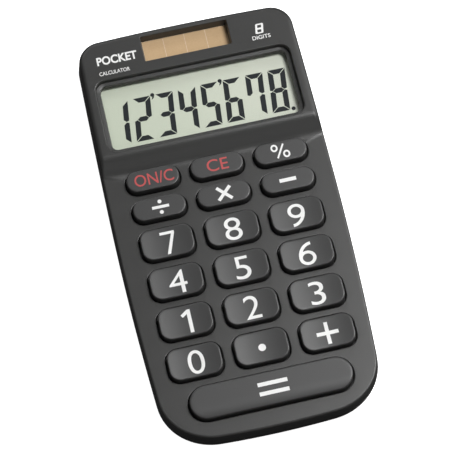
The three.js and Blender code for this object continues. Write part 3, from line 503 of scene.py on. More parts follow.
KEYS = {}  # each cap's centre, width and depth, without its flange
for body in frame["bodies"]:
    if body.startswith("key_"):
        key_low, key_high = corners_of(body)
        lap = 2 * (KEY_GAP + FLANGE_OVERHANG)
        middle = (key_low + key_high) / 2
        KEYS[body] = (middle.x, middle.y, key_high.x - key_low.x - lap, key_high.y - key_low.y - lap)


def key_corner(name):
    return EQUALS_CORNER if name == "key_equals" else KEY_CORNER


def top_height(x, y):
    return DECK_Z + (HEAD_Z - DECK_Z) * slope_height(y)


def front_shell():
    skin = Skin()

    def edge_radius(y):
        return DECK_EDGE + (HEAD_EDGE - DECK_EDGE) * slope_height(y)

    def wall_loop(rule, polish=0.0):
        """A loop whose (inset, height) come from a rule of y."""
        first = len(skin.points)
        for (x, y), (x_in, y_in) in zip(body_outline(0), body_outline(1)):
            inset, z = rule(y)
            skin.points.append((x + (x_in - x) * inset, y + (y_in - y) * inset, z))
            skin.polish.append(polish)
        return list(range(first, len(skin.points)))

    def wall(share):
        def rule(y):
            rise = top_height(0, y) - edge_radius(y) - PARTING_Z - SEAM_LAND
            z = PARTING_Z + SEAM_LAND + rise * share
            return WALL_DRAFT * (z - PARTING_Z), z
        return rule

    def edge(inwards, downwards):
        def rule(y):
            radius = edge_radius(y)
            base = WALL_DRAFT * (top_height(0, y) - radius - PARTING_Z)
            return base + inwards * radius, top_height(0, y) - downwards * radius
        return rule

    outside = [
        wall_loop(lambda y: (SEAM_LIP, PARTING_Z), 0.4),
        wall_loop(lambda y: (SEAM_CHAMFER, PARTING_Z + SEAM_CHAMFER), 0.8),
        wall_loop(wall(0), 0.2),
        wall_loop(wall(0.35)),
        wall_loop(wall(0.7)),
    ]
    outside += [wall_loop(edge(*shares), 0.5) for shares in edge_steps(7)]
    skin.climb(outside)
    inner_wall = SHELL_WALL + WALL_DRAFT * 2
    inner = [
        wall_loop(lambda y: (SHELL_WALL, PARTING_Z)),
        wall_loop(lambda y: (inner_wall, top_height(0, y) - DECK_WALL - INNER_CHAMFER)),
        wall_loop(lambda y: (inner_wall + INNER_CHAMFER, top_height(0, y) - DECK_WALL)),
    ]
    skin.bridge(inner[0], outside[0])
    skin.climb(inner[::-1])

    tops, unders = [], []

    def opening(loops):
        """Joins the loops down an opening's wall and keeps its ends as holes in the skins."""
        skin.climb(loops)
        tops.append(loops[0])
        unders.append(loops[-1])

    for name, (x, y, width, depth) in KEYS.items():
        shape = (width, depth, key_corner(name), x, y)
        loops = []
        for inwards, downwards in reversed(edge_steps(4)):
            outline = rounded(*shape, grow=KEY_GAP + KEY_HOLE_EDGE * inwards)
            drop = KEY_HOLE_EDGE * downwards
            loops.append(skin.loop(outline, lambda px, py: top_height(px, py) - drop, 0.5))
        outline = rounded(*shape, grow=KEY_GAP)
        loops.append(skin.loop(outline, lambda px, py: top_height(px, py) - DECK_WALL))
        opening(loops)

    glass_z = corners_of("display_window")[1].z + GLASS_ROOM
    shape = (*DISPLAY_OPENING, 0, DISPLAY_Y)
    loops = []
    for inwards, downwards in reversed(edge_steps(4)):
        outline = rounded(*shape, grow=OPENING_EDGE * inwards)
        loops.append(skin.loop(outline, HEAD_Z - OPENING_EDGE * downwards, 0.9))
    for grow, drop, polish in DISPLAY_STEPS:
        loops.append(skin.loop(rounded(*shape, grow=grow), HEAD_Z - drop, polish))
    for grow, z in ((-SILL, glass_z), (WINDOW_LAP, glass_z), (WINDOW_LAP, HEAD_Z - DECK_WALL)):
        loops.append(skin.loop(rounded(*shape, grow=grow), z))
    opening(loops)

    shape = (*SOLAR_OPENING, 0, SOLAR_Y)
    loops = []
    for inwards, downwards in reversed(edge_steps(3)):
        outline = rounded(*shape, grow=SOLAR_EDGE * inwards, turns=4)
        loops.append(skin.loop(outline, HEAD_Z - SOLAR_EDGE * downwards, 0.9))
    for grow, z in ((-SOLAR_SILL, glass_z), (SOLAR_LAP, glass_z), (SOLAR_LAP, HEAD_Z - DECK_WALL)):
        loops.append(skin.loop(rounded(*shape, grow=grow, turns=4), z))
    opening(loops)

    def rungs(loop, lowest, highest):
        """Pairs of points on the two sides, joined straight across so that the slope stays even."""
        pairs = []
        half = len(loop) // 2
        for step in range(1, half):
            a, b = loop[step], loop[len(loop) - step]
            if lowest < skin.points[a][1] < highest:
                pairs.append((a, b))
        return pairs

    hair = 0.01
    hole_top = max(y + depth / 2 for x, y, width, depth in KEYS.values()) + KEY_GAP + KEY_HOLE_EDGE
    rim_y = DISPLAY_Y - DISPLAY_OPENING[1] / 2 - OPENING_EDGE - hair
    skin.fill(outside[-1], tops, rungs(outside[-1], hole_top + hair, rim_y))
    skin.fill(inner[-1], unders, rungs(inner[-1], hole_top + hair, rim_y - WINDOW_LAP), down=True)
    return skin.piece("front_shell", case_plastic)


front = front_shell()
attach(front, "case")
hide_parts("front_case")

# ---------------------------------------------------------------- rear shell
# The tray under the front shell, in the same charcoal plastic. It carries the four screw
# wells, the recesses of the rubber feet and a shallow blank panel for a rating label.
REAR_Z = 0.6
FLOOR_Z = 2.0
SEAM_GAP = 0.15
SEAM_BREAK = 0.2
INNER_FILLET = 0.5
REAR_EDGE = 1.9  # how far the underside's edge rounds inwards
REAR_EDGE_HEIGHT = 4.0
MOUTH_CHAMFER = 0.12
WELL_RADIUS = 2.2
WELL_DEPTH = 1.8
WELL_FLOOR = 1.2
WELL_BOSS = WELL_RADIUS + 0.15
SCREW_HOLE = 1.1
FOOT_SEAT = 4.15
FOOT_RECESS = 0.5
PANEL = (34.0, 16.0, 1.5)  # width, depth and corner
PANEL_RECESS = 0.3


def centre(node):
    node_low, node_high = corners_of(node)
    return (node_low + node_high) / 2


CASE_SCREWS = [centre(f"case_screw_{number}") for number in (1, 2, 3, 4)]
FEET = [centre(f"foot_{number}") for number in (1, 2, 3, 4)]


def rear_shell():
    skin = Skin()
    rim = PARTING_Z - SEAM_GAP
    outside = []
    for inwards, downwards in reversed(edge_steps(8)):
        z = REAR_Z + REAR_EDGE_HEIGHT * downwards
        outside.append(skin.loop(body_outline(REAR_EDGE * inwards), z, 0.15))
    for inset, z, polish in (
        (0, rim - 0.12, 0.6), (0.05, rim - 0.03, 0.8), (SEAM_BREAK, rim, 0.4), (SHELL_WALL, rim, 0),
        (SHELL_WALL, FLOOR_Z + 1.2, 0), (SHELL_WALL + 0.15, FLOOR_Z + 0.35, 0),
        (SHELL_WALL + INNER_FILLET, FLOOR_Z, 0),
    ):
        outside.append(skin.loop(body_outline(inset), z, polish))
    skin.climb(outside)
    under, over = [], []
    well_top = REAR_Z + WELL_DEPTH + WELL_FLOOR
    for screw in CASE_SCREWS:
        well = [
            skin.loop(ring(radius, screw.x, screw.y), z, polish)
            for radius, z, polish in (
                (WELL_RADIUS + MOUTH_CHAMFER, REAR_Z, 0.6), (WELL_RADIUS + 0.04, REAR_Z + 0.04, 0.6),
                (WELL_RADIUS, REAR_Z + 0.2, 0), (WELL_RADIUS, REAR_Z + WELL_DEPTH, 0),
                (SCREW_HOLE, REAR_Z + WELL_DEPTH, 0), (SCREW_HOLE, well_top, 0),
                (WELL_BOSS, well_top, 0), (WELL_BOSS, FLOOR_Z, 0),
            )
        ]
        skin.climb(well[::-1])
        under.append(well[0])
        over.append(well[-1])

    def pocket(outline, depth):
        """A shallow pocket in the underside; its outline is a rule of how far it is grown."""
        loops = [
            skin.loop(outline(MOUTH_CHAMFER), REAR_Z, 0.6),
            skin.loop(outline(0), REAR_Z + 0.1, 0.3),
            skin.loop(outline(0), REAR_Z + depth),
        ]
        skin.climb(loops[::-1])
        skin.fill(loops[-1], down=True)
        under.append(loops[0])

    for foot in FEET:
        pocket(lambda grow: ring(FOOT_SEAT + grow, foot.x, foot.y), FOOT_RECESS)
    pocket(lambda grow: rounded(*PANEL, grow=grow), PANEL_RECESS)
    skin.fill(outside[0], under, down=True)
    skin.fill(outside[-1], over)
    return skin.piece("rear_shell", case_plastic)


rear = rear_shell()
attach(rear, "case")
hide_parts("rear_case")

# ---------------------------------------------------------------- key caps
# Nineteen moulded caps in a smoother charcoal plastic. The number keys are dished from side
# to side for the fingertip, the operators are flat and the equals bar rolls off in front.
# A flange keeps each cap under the deck and a stem stands on its silicone dome.
KEY_TOP_Z = 11.4
FLANGE_Z = 6.9
FLANGE_TOP_Z = 7.6
KEY_WALL = 1.2
KEY_ROOF_Z = KEY_TOP_Z - KEY_WALL - 0.3
KEY_EDGE = 0.4
KEY_DRAFT = 0.12
DISH_DEPTH = 0.55
ROLL_OFF = 3.2
ROLL_OFF_DROP = 0.55
STEM_RADIUS = 1.9
TOP_RINGS = (0.12, 0.3, 0.5, 0.72, 0.94)  # shares of the way from the top's edge to its middle
NUMBER_KEYS = {f"key_{digit}" for digit in range(10)} | {"key_point", "key_plus"}

key_plastic = moulded(
    "charcoal_key_plastic", (0.048, 0.048, 0.048), (0.038, 0.038, 0.038),
    roughness=0.43, speck=0.28, depth=0.012,
)


def key_surface(name):
    """The rule for the height of that key's top."""
    x, y, width, depth = KEYS[name]

    def dished(px, py):
        return KEY_TOP_Z - DISH_DEPTH * max(0, 1 - ((px - x) / (width / 2 - KEY_EDGE)) ** 2)

    def rolled(px, py):
        ahead = max(0, 1 - (py - y + depth / 2) / ROLL_OFF)
        return KEY_TOP_Z - ROLL_OFF_DROP * ahead ** 2

    def level(px, py):
        return KEY_TOP_Z

    return dished if name in NUMBER_KEYS else rolled if name == "key_equals" else level


def key_cap(name):
    x, y, width, depth = KEYS[name]
    skin = Skin()
    top = key_surface(name)
    long = 24 if name == "key_equals" else 14

    def loop(grow, height, polish=0.0):
        outline = rounded(width, depth, key_corner(name), x, y, grow=grow, turns=8, along=long, up=5)
        return skin.loop(outline, height, polish)

    lap = KEY_GAP + FLANGE_OVERHANG
    loops = [
        loop(-KEY_WALL, KEY_ROOF_Z),
        loop(-KEY_WALL, FLANGE_Z),
        loop(lap, FLANGE_Z),
        loop(lap, FLANGE_TOP_Z),
        loop(0, FLANGE_TOP_Z),
        loop(-0.3 * KEY_DRAFT, DECK_Z),
    ]
    for inwards, downwards in edge_steps(6):
        grow = -KEY_DRAFT - KEY_EDGE * inwards
        drop = KEY_EDGE * downwards
        loops.append(loop(grow, lambda px, py: top(px, py) - drop, 0.75 if inwards < 0.9 else 0.2))
    reach = depth / 2 - KEY_DRAFT - KEY_EDGE
    for share in TOP_RINGS:
        loops.append(loop(-KEY_DRAFT - KEY_EDGE - reach * share, top))
    skin.climb(loops)
    skin.fill(loops[-1])
    stem = ring(STEM_RADIUS, x, y, 24)
    stem_top = skin.loop(stem, KEY_ROOF_Z)
    stem_foot = skin.loop(stem, FLANGE_Z)
    skin.fill(loops[0], [stem_top], down=True)
    skin.bridge(stem_foot, stem_top)
    skin.fill(stem_foot, down=True)
    return skin.piece(name.replace("key_", "cap_"), key_plastic, sharp=50)


for name in KEYS:
    cap = key_cap(name)
    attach(cap, name)
    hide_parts(name)

# ---------------------------------------------------------------- key legends
# Pad-printed numbers and signs, white but for the two red clearing keys. The ink is a thin
# film that follows the top of the cap and lies about a hundredth of a millimetre proud of it.
INK = 0.012
LEGEND_X = 0.4
EQUALS_LEGEND_X = 0.4  # further to the right again
NUMBER_DROP = 0.3  # towards the user from the cap's centre
PRINT_PITCH = 18.0  # the printing plate's, a little under the keys' own pitch
NUMBER_DEPTH = 6.65
RED_KEYS = ("key_on_clear", "key_clear_entry")


def ink(name, colour, shade):
    finish = Finish(name, Roughness=0.45, IOR=1.5)
    patch = finish.grain(0.5)
    finish.set(Base_Color=finish.mix(patch, shade, colour), Normal=finish.bump(patch, 0.004))
    return finish


white_ink = ink("white_ink", (0.90, 0.90, 0.89), (0.80, 0.80, 0.79))
red_ink = ink("red_ink", (0.52, 0.075, 0.075), (0.44, 0.06, 0.06))


def lettering(text, bold=0.0):
    """Flat solid lettering one unit high, from the program's own plain alphabet."""
    curve = bpy.data.curves.new("lettering", "FONT")
    curve.body = text
    curve.resolution_u = 8
    curve.extrude = 0.01
    curve.offset = bold
    shaper = add_object("lettering", curve)
    bpy.context.view_layer.update()
    mesh = bpy.data.meshes.new_from_object(shaper.evaluated_get(bpy.context.evaluated_depsgraph_get()))
    bpy.data.objects.remove(shaper)
    bpy.data.curves.remove(curve)
    return mesh


def signs(outlines):
    """Flat solids from outlines, each a list of (x, y) with any holes after it."""
    mesh = bpy.data.meshes.new("signs")
    skin = Skin()
    for outer, *holes in outlines:
        lower = [skin.loop(loop, -0.01) for loop in (outer, *holes)]
        upper = [skin.loop(loop, 0.01) for loop in (outer, *holes)]
        skin.bridge(lower[0], upper[0])
        for low_hole, high_hole in zip(lower[1:], upper[1:]):
            skin.bridge(high_hole, low_hole)
        skin.fill(upper[0], upper[1:])
        skin.fill(lower[0], lower[1:], down=True)
    mesh.from_pydata(skin.points, [], skin.faces)
    return mesh


def bar(width, depth, x=0, y=0, turn=0.0, corner=0.03):
    """A rounded bar, turned by that many degrees."""
    spun = Matrix.Rotation(math.radians(turn), 2)
    return [tuple(spun @ Vector(p) + Vector((x, y))) for p in rounded(width, depth, corner, turns=2)]


def cross(arm, width, x=0, y=0):
    """The outline of an upright cross, from half its length and half its arms' width."""
    points = [
        (-arm, -width), (-width, -width), (-width, -arm), (width, -arm), (width, -width), (arm, -width),
        (arm, width), (width, width), (width, arm), (-width, arm), (-width, width), (-arm, width),
    ]
    return [(x + px, y + py) for px, py in points]


def printed(name, mesh, x, y, width, depth, surface, finish, body, steps=0, lift=INK):
    """Lays a flat solid on a surface as a printed film, fitted to that width and depth.

    On a curved surface it is first cut across in steps of that many millimetres.
    """
    film = bmesh.new()
    film.from_mesh(mesh)
    bpy.data.meshes.remove(mesh)
    xs = [vert.co.x for vert in film.verts]
    ys = [vert.co.y for vert in film.verts]
    spread_x = width / (max(xs) - min(xs))
    spread_y = depth / (max(ys) - min(ys))
    for vert in film.verts:
        vert.co.x = (vert.co.x - (max(xs) + min(xs)) / 2) * spread_x + x
        vert.co.y = (vert.co.y - (max(ys) + min(ys)) / 2) * spread_y + y
    if steps:
        for step in range(1, int(width / steps)):
            everything = film.verts[:] + film.edges[:] + film.faces[:]
            cut = (x - width / 2 + step * steps, 0, 0)
            bmesh.ops.bisect_plane(film, geom=everything, plane_co=cut, plane_no=(1, 0, 0), dist=1e-5)
    for vert in film.verts:
        vert.co.z = surface(vert.co.x, vert.co.y) + (lift if vert.co.z > 0 else -lift)
    film.transform(Matrix.Scale(MM, 4))
    bmesh.ops.remove_doubles(film, verts=film.verts, dist=1e-8)
    bmesh.ops.recalc_face_normals(film, faces=film.faces)
    flat = bpy.data.meshes.new(name)
    film.to_mesh(flat)
    film.free()
    flat.materials.append(finish.material)
    flat.shade_smooth()
    flat.set_sharp_from_angle(angle=math.radians(30))
    piece = add_object(name, flat)
    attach(piece, body)


ONE = [(0.32, 0), (0.475, 0), (0.475, 1.0), (0.345, 1.0), (0.05, 0.80), (0.13, 0.69), (0.32, 0.815)]
SEVEN = [(0.18, 0), (0.34, 0), (0.70, 0.90), (0.70, 1.0), (0.0, 1.0), (0.0, 0.88), (0.54, 0.88)]
DIVIDE = [[bar(4.8, 0.85)], [ring(0.56, 0, 1.6, 24)], [ring(0.56, 0, -1.6, 24)]]
EQUALS = [[bar(8.1, 1.1, 0, 1.3)], [bar(8.1, 1.1, 0, -1.3)]]
PERCENT = [
    [ring(0.27, -0.42, 0.27, 32), ring(0.14, -0.42, 0.27, 32)[::-1]],
    [ring(0.27, 0.42, -0.27, 32), ring(0.14, 0.42, -0.27, 32)[::-1]],
    [bar(0.13, 1.16, turn=-33)],
]
PLUS = cross(0.5, 0.085)
TIMES = [tuple(Matrix.Rotation(math.pi / 4, 2) @ Vector(p)) for p in PLUS]


def swept(x, y, reach_x, reach_y, start, end, steps=30):
    """Points along part of an oval, between two angles in degrees."""
    turns = [math.radians(start + (end - start) * step / steps) for step in range(steps + 1)]
    return [(x + reach_x * math.cos(turn), y + reach_y * math.sin(turn)) for turn in turns]


def six():
    """A bowl with an arm that sweeps up over it, and the hole in the bowl."""
    arm = swept(0.62, 0.33, 0.62, 0.67, 92, 178)
    bowl = swept(0.36, 0.315, 0.36, 0.315, 182, 473)
    under_arm = swept(0.62, 0.33, 0.48, 0.54, 147, 92)
    hole = swept(0.36, 0.315, 0.215, 0.190, 360, 12)
    return [arm + bowl + under_arm, hole]


nine = [[(-x, -y) for x, y in loop] for loop in six()]
legends = {  # each key's sign, with its width and depth
    "key_1": (signs([[ONE]]), 2.75, NUMBER_DEPTH),
    "key_7": (signs([[SEVEN]]), 4.05, NUMBER_DEPTH),
    "key_6": (signs([six()]), 4.7, NUMBER_DEPTH),
    "key_9": (signs([nine]), 4.7, NUMBER_DEPTH),
    "key_point": (signs([[ring(1, steps=32)]]), 2.05, 2.05),
    "key_plus": (signs([[PLUS]]), 6.0, 6.2),
    "key_divide": (signs(DIVIDE), 4.8, 4.32),
    "key_multiply": (signs([[TIMES]]), 4.45, 4.45),
    "key_minus": (signs([[bar(4.7, 1.1)]]), 4.7, 1.1),
    "key_percent": (signs(PERCENT), 5.1, 4.55),
    "key_equals": (signs(EQUALS), 8.1, 3.7),
    "key_on_clear": (lettering("ON/C", 0.004), 11.0, 3.5),
    "key_clear_entry": (lettering("CE", 0.004), 6.0, 3.6),
}
for digit, width in ((0, 4.5), (2, 4.3), (3, 4.2), (4, 5.0), (5, 4.3), (8, 4.75)):
    legends[f"key_{digit}"] = (lettering(str(digit), -0.002), width, NUMBER_DEPTH)
KEYPAD_X = KEYS["key_2"][0]
KEY_PITCH = KEYS["key_3"][0] - KEYPAD_X
for name, (mesh, width, depth) in legends.items():
    key_x, key_y = KEYS[name][:2]
    x = LEGEND_X + (key_x - KEYPAD_X) * PRINT_PITCH / KEY_PITCH
    if name == "key_equals":
        x += EQUALS_LEGEND_X
    y = key_y - NUMBER_DROP if name in NUMBER_KEYS else key_y
    printed(
        name.replace("key_", "legend_"), mesh, x, y, width, depth,
        key_surface(name), red_ink if name in RED_KEYS else white_ink, name,
        steps=0.6 if name in NUMBER_KEYS else 0,
    )

# ---------------------------------------------------------------- display
# A clear acrylic window sealed behind the stepped opening, the front polariser on the
# two-plate glass cell, a silvered film behind it and the black frame that holds the stack.
# A ribbon of copper lanes on amber film joins the cell to the board.
FACE_Z = corners_of("display_window")[0].z - 0.05  # the polariser's top


def dress(node, finish, round_edge=0.0):
    """Gives a node its finish and, if asked, softens its edges."""
    piece = frame["nodes"][node]
    for place in piece.material_slots:
        place.material = finish.material
    if round_edge:
        soft = piece.modifiers.new("soft_edges", "BEVEL")
        soft.width = round_edge * MM
        soft.segments = 2
        soft.limit_method = "ANGLE"
        soft.angle_limit = math.radians(35)
        soft.use_clamp_overlap = True


acrylic = Finish("clear_acrylic", Roughness=0.06, IOR=1.49, Alpha=0.03)
haze = acrylic.grain(9)
acrylic.set(Base_Color=acrylic.mix(haze, (0.25, 0.27, 0.26), (0.35, 0.37, 0.36)))
dress("display_window", acrylic)

polariser = Finish("grey_green_polariser", Roughness=0.38, IOR=1.5)
across, along, _ = polariser.axes()
mottle = polariser.grain(2.2, 3)
# The polariser is painted paler towards the right and the top, a painted sheen of the light across the
# display, over its own faint random mottle.
PAINTED_SHEEN_RIGHT = 0.35 / 0.027  # for each metre
PAINTED_SHEEN_TOP = 0.10 / 0.010
painted_sheen_and_mottle = across * PAINTED_SHEEN_RIGHT + along * PAINTED_SHEEN_TOP + 0.15 + 0.1 * (mottle - 0.5)
polariser.set(Base_Color=polariser.mix(painted_sheen_and_mottle, (0.56, 0.62, 0.49), (0.68, 0.71, 0.61)))
polariser.set(Normal=polariser.bump(polariser.grain(0.12), 0.003))
dress("display_polariser", polariser)

segment_ink = Finish("dark_liquid_crystal", Roughness=0.3, IOR=1.35)
mottle = segment_ink.grain(1.2)
segment_ink.set(Base_Color=segment_ink.mix(mottle, (0.004, 0.006, 0.009), (0.008, 0.011, 0.015)))
DIGIT_PITCH = 6.54
DIGIT_WIDTH = 5.05
DIGIT_HEIGHT = 13.4
DIGIT_SLANT = 0.108
STROKE = 1.5
UPRIGHT_STROKE = 1.6
SLIT = 0.09
LAST_DIGIT_X = 25.15
DIGIT_FOOT_Y = DISPLAY_Y - 7.95


def segments():
    """The seven bars of a digit, mitred where they meet, from its left foot."""
    width, height, stroke, post, slit = DIGIT_WIDTH, DIGIT_HEIGHT, STROKE, UPRIGHT_STROKE, SLIT
    waist = height / 2
    upright = [(0, slit + 0.12), (post - 0.1, stroke + slit), (post, waist - stroke / 2 - slit)]
    upright += [(post / 2, waist - slit), (0.05, waist - slit - 0.3)]
    right_upright = [(width - x, y) for x, y in upright][::-1]
    inner = post + slit
    top = [(inner, height - stroke), (width - post - slit, height - stroke)]
    top += [(width - slit, height), (slit, height)]
    middle = [(inner, waist - stroke / 2), (width - post - slit, waist - stroke / 2)]
    middle += [(width - post / 2 - slit, waist), (width - post - slit, waist + stroke / 2)]
    middle += [(inner, waist + stroke / 2), (post / 2 + slit, waist)]

    def mirrored(shape):
        return [(x, height - y) for x, y in shape][::-1]

    return {
        "a": top,
        "b": mirrored(right_upright),
        "c": right_upright,
        "d": mirrored(top),
        "e": upright,
        "f": mirrored(upright),
        "g": middle,
    }


SHAPES = ["bc", "abged", "abgcd", "fgbc", "afgcd", "afgedc", "fabc", "abcdefg"]
COMMA = [
    (0.1, -1.5), (0.85, -0.9), (1.2, 0.0), (1.0, 0.5), (0.55, 0.65), (0.1, 0.45), (-0.05, 0.0),
    (0.15, -0.4), (0.45, -0.6),
]
COMMA_AFTER = (1, 4)  # the places, counted from the left, that a comma follows


def display_digits():
    outlines = []
    lean = DIGIT_SLANT * DIGIT_HEIGHT / 2
    for place, shape in enumerate(SHAPES):
        left = LAST_DIGIT_X - DIGIT_WIDTH - DIGIT_PITCH * (len(SHAPES) - 1 - place)
        for part in shape:
            points = segments()[part]
            outlines.append([[(left + x + DIGIT_SLANT * (y - DIGIT_HEIGHT / 2), y) for x, y in points]])
        if place in COMMA_AFTER:
            corner = left + DIGIT_WIDTH + lean
            outlines.append([[(corner + 0.1 + x, DIGIT_HEIGHT + y) for x, y in COMMA]])
    outlines.append([ring(0.6, LAST_DIGIT_X - lean + 1.0, 0.25, 24)])
    return outlines


digit_mesh = signs(display_digits())
xs = [vert.co.x for vert in digit_mesh.vertices]
ys = [vert.co.y for vert in digit_mesh.vertices]
printed(
    "display_segments", digit_mesh, (min(xs) + max(xs)) / 2, DIGIT_FOOT_Y + (min(ys) + max(ys)) / 2,
    max(xs) - min(xs), max(ys) - min(ys), lambda x, y: FACE_Z, segment_ink, "case",
    lift=0.01,
)

glass = Finish("cell_glass", Roughness=0.08, IOR=1.52)
rim_shade = glass.grain(4)
glass.set(Base_Color=glass.mix(rim_shade, (0.50, 0.56, 0.44), (0.58, 0.63, 0.52)))
dress("lcd_cell", glass, 0.08)

silvered = Finish("silvered_film", Roughness=0.3, Metallic=0.6)
brushed = silvered.grain(0.4, 3, 0.6, (1, 8, 1))
silvered.set(Base_Color=silvered.mix(brushed, (0.55, 0.57, 0.52), (0.66, 0.68, 0.63)))
dress("display_reflector", silvered)

black_plastic = moulded(
    "black_frame_plastic", (0.028, 0.028, 0.028), (0.020, 0.020, 0.020),
    roughness=0.55, speck=0.3, depth=0.015,
)
dress("display_holder", black_plastic, 0.15)

amber_film = Finish("amber_ribbon_film", Roughness=0.32, IOR=1.6)
inputs = {"Vector": amber_film.place(), "Scale": 260.0}
lanes = amber_film.node("ShaderNodeTexWave", {"bands_direction": "X"}, inputs)
lanes = amber_film.ramp(lanes, 0.45, 0.55)
amber_film.set(Base_Color=amber_film.mix(lanes, (0.42, 0.20, 0.03), (0.58, 0.36, 0.14)))
dress("display_ribbon", amber_film)

# ---------------------------------------------------------------- solar cell
# Four strips of amorphous silicon on the back of a glass plate, with thin pale gaps between
# them and a pale border. The plate is bonded behind its opening on a strip of foam, and a red
# and a black lead run from it to the board.
STRIP_PITCH = 6.15
STRIP_GAP = 0.14
SILICON_WIDTH = 24.6
SILICON_DEPTH = 7.1
silicon = Finish("tan_silicon", Roughness=0.22, IOR=1.52)
across, along, _ = silicon.axes()
strip = silicon.node("ShaderNodeMath", {"operation": "PINGPONG"}, {0: across, 1: STRIP_PITCH * MM / 2})
beside = silicon.node("ShaderNodeMath", {"operation": "ABSOLUTE"}, {0: along - SOLAR_Y * MM})
past = silicon.node("ShaderNodeMath", {"operation": "ABSOLUTE"}, {0: across})
tone = silicon.grain(5)
fine = silicon.grain(0.5)
body_tone = silicon.mix(0.5 * tone + 0.5 * fine, (0.50, 0.335, 0.185), (0.64, 0.46, 0.275))
on_line = strip < STRIP_GAP / 2 * MM
border = (beside > SILICON_DEPTH / 2 * MM) + (past > SILICON_WIDTH / 2 * MM)
pale = silicon.node("ShaderNodeMath", {"operation": "MAXIMUM"}, {0: on_line, 1: border})
silicon.set(Base_Color=silicon.mix(0.6 * pale, body_tone, (0.80, 0.70, 0.56)))
dress("solar_cell", silicon, 0.06)

foam = Finish("closed_cell_foam", Roughness=0.95)
cells = foam.node("ShaderNodeTexVoronoi", {}, {"Vector": foam.place(), "Scale": 2800.0})
foam.set(Base_Color=foam.mix(cells, (0.02, 0.02, 0.02), (0.07, 0.07, 0.07)), Normal=foam.bump(cells, 0.1))
dress("solar_pad", foam, 0.1)

for node, colour, shade in (
    ("solar_wire_red", (0.42, 0.03, 0.02), (0.30, 0.02, 0.015)),
    ("solar_wire_black", (0.03, 0.03, 0.03), (0.015, 0.015, 0.015)),
):
    sleeve = Finish(node + "_sleeve", Roughness=0.4, IOR=1.5)
    flow = sleeve.grain(0.8)
    sleeve.set(Base_Color=sleeve.mix(flow, shade, colour), Normal=sleeve.bump(flow, 0.01))
    dress(node, sleeve)

# ---------------------------------------------------------------- head prints
# Plain generic lettering in the same white ink as the legends, pad-printed on the head: what
# the object is on the left, and how many digits it shows on the right.


def slanted(width, depth, y=0, corner=0.3, slant=0.16):
    """A rounded rectangle that leans to the right."""
    return [(px + slant * py, py) for px, py in rounded(width, depth, corner, 0, y, turns=5)]


def head_print(name, mesh, x, y, width, depth):
    printed(
        name, mesh, x, y, width, depth, lambda px, py: HEAD_Z, white_ink, "case",
        lift=0.006,
    )


EIGHT = [slanted(2.3, 3.5, corner=0.35), slanted(1.15, 0.95, y=0.78, corner=0.1)[::-1]]
EIGHT += [slanted(1.15, 0.95, y=-0.82, corner=0.1)[::-1]]
head_print("print_eight", signs([EIGHT]), 21.3, SOLAR_Y - 1.15, 2.75, 3.15)
head_print("print_digits", lettering("DIGITS", 0.012), 21.3, SOLAR_Y - 3.9, 5.3, 1.25)
head_print("print_pocket", lettering("POCKET", 0.03), -20.3, SOLAR_Y - 1.2, 11.6, 2.7)
head_print("print_calculator", lettering("CALCULATOR", 0.012), -21.7, SOLAR_Y - 5.2, 8.8, 1.2)

# ---------------------------------------------------------------- feet
# Four round moulded rubber pads that keep the calculator from sliding, pressed into the
# recesses of the rear shell with a little glue.
FOOT_PROFILE = [  # radius and height, from the middle of the tread up to the glued face
    (3.2, 0.06), (3.3, 0.0), (3.6, 0.0), (3.78, 0.06), (3.92, 0.18), (4.0, 0.4), (4.0, 1.05),
]
rubber = Finish("black_rubber", Roughness=0.82, IOR=1.5, Sheen_Weight=0.15)
dust = rubber.grain(0.6, 4, 0.7)
rubber.set(Base_Color=rubber.mix(dust, (0.014, 0.014, 0.014), (0.030, 0.030, 0.030)))
rubber.set(Normal=rubber.bump(dust, 0.02))


def rubber_pad(name, x, y):
    skin = Skin()
    loops = [skin.loop(ring(radius, x, y, 48), z) for radius, z in FOOT_PROFILE]
    skin.climb(loops)
    skin.fill(loops[0], down=True)
    skin.fill(loops[-1])
    return skin.piece(name, rubber)


for number, place in enumerate(FEET, 1):
    pad = rubber_pad(f"rubber_foot_{number}", place.x, place.y)
    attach(pad, "case")
    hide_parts(f"foot_{number}")

# ---------------------------------------------------------------- case screws
# Zinc-plated self-tapping screws with cross-recessed pan heads. Four are seated in the wells
# of the rear shell and pull the two shells together, and four smaller ones hold the board.
SCREW_HEAD_RADIUS = 1.9
SCREW_HEAD_HEIGHT = 1.2
SHANK_RADIUS = 1.0
SHANK_LENGTH = 5.8
THREAD_PITCH = 0.6
THREAD_ROOT = 0.82  # the thread's root, as a share of the shank's radius
zinc = Finish("zinc_plate", Metallic=1.0)
scuffs = zinc.grain(0.25, 3, 0.6, (1, 3, 1))
zinc.set(Base_Color=zinc.mix(scuffs, (0.42, 0.43, 0.45), (0.66, 0.66, 0.66)))
zinc.set(Roughness=0.28 + 0.16 * scuffs, Normal=zinc.bump(scuffs, 0.006))


def pan_screw(name, x, y, seat):
    """A screw from below, its head's bearing face at the height of the seat."""
    skin = Skin()
    head, shank = SCREW_HEAD_RADIUS, SHANK_RADIUS
    bottom = seat - SCREW_HEAD_HEIGHT
    tip = seat + SHANK_LENGTH
    profile = [(head * 0.62, bottom), (head * 0.82, bottom + 0.08), (head * 0.95, bottom + 0.3)]
    profile += [(head, bottom + 0.55), (head, seat), (shank, seat)]
    turn = seat + 0.3
    while turn < tip - 1.4:
        profile += [(shank * THREAD_ROOT, turn), (shank, turn + 0.22), (shank * THREAD_ROOT, turn + 0.44)]
        turn += THREAD_PITCH
    profile += [(shank * 0.75, tip - 0.9), (0.15, tip)]
    loops = [skin.loop(ring(radius, x, y, 36), z) for radius, z in profile]
    skin.climb(loops)
    skin.fill(loops[-1])
    mouth = skin.loop(cross(head * 0.5, head * 0.13, x, y), bottom)
    root = skin.loop(cross(head * 0.36, head * 0.10, x, y), bottom + SCREW_HEAD_HEIGHT * 0.5)
    skin.fill(loops[0], [mouth], down=True)
    skin.bridge(root, mouth)
    skin.fill(root, down=True)
    return skin.piece(name, zinc, sharp=35)


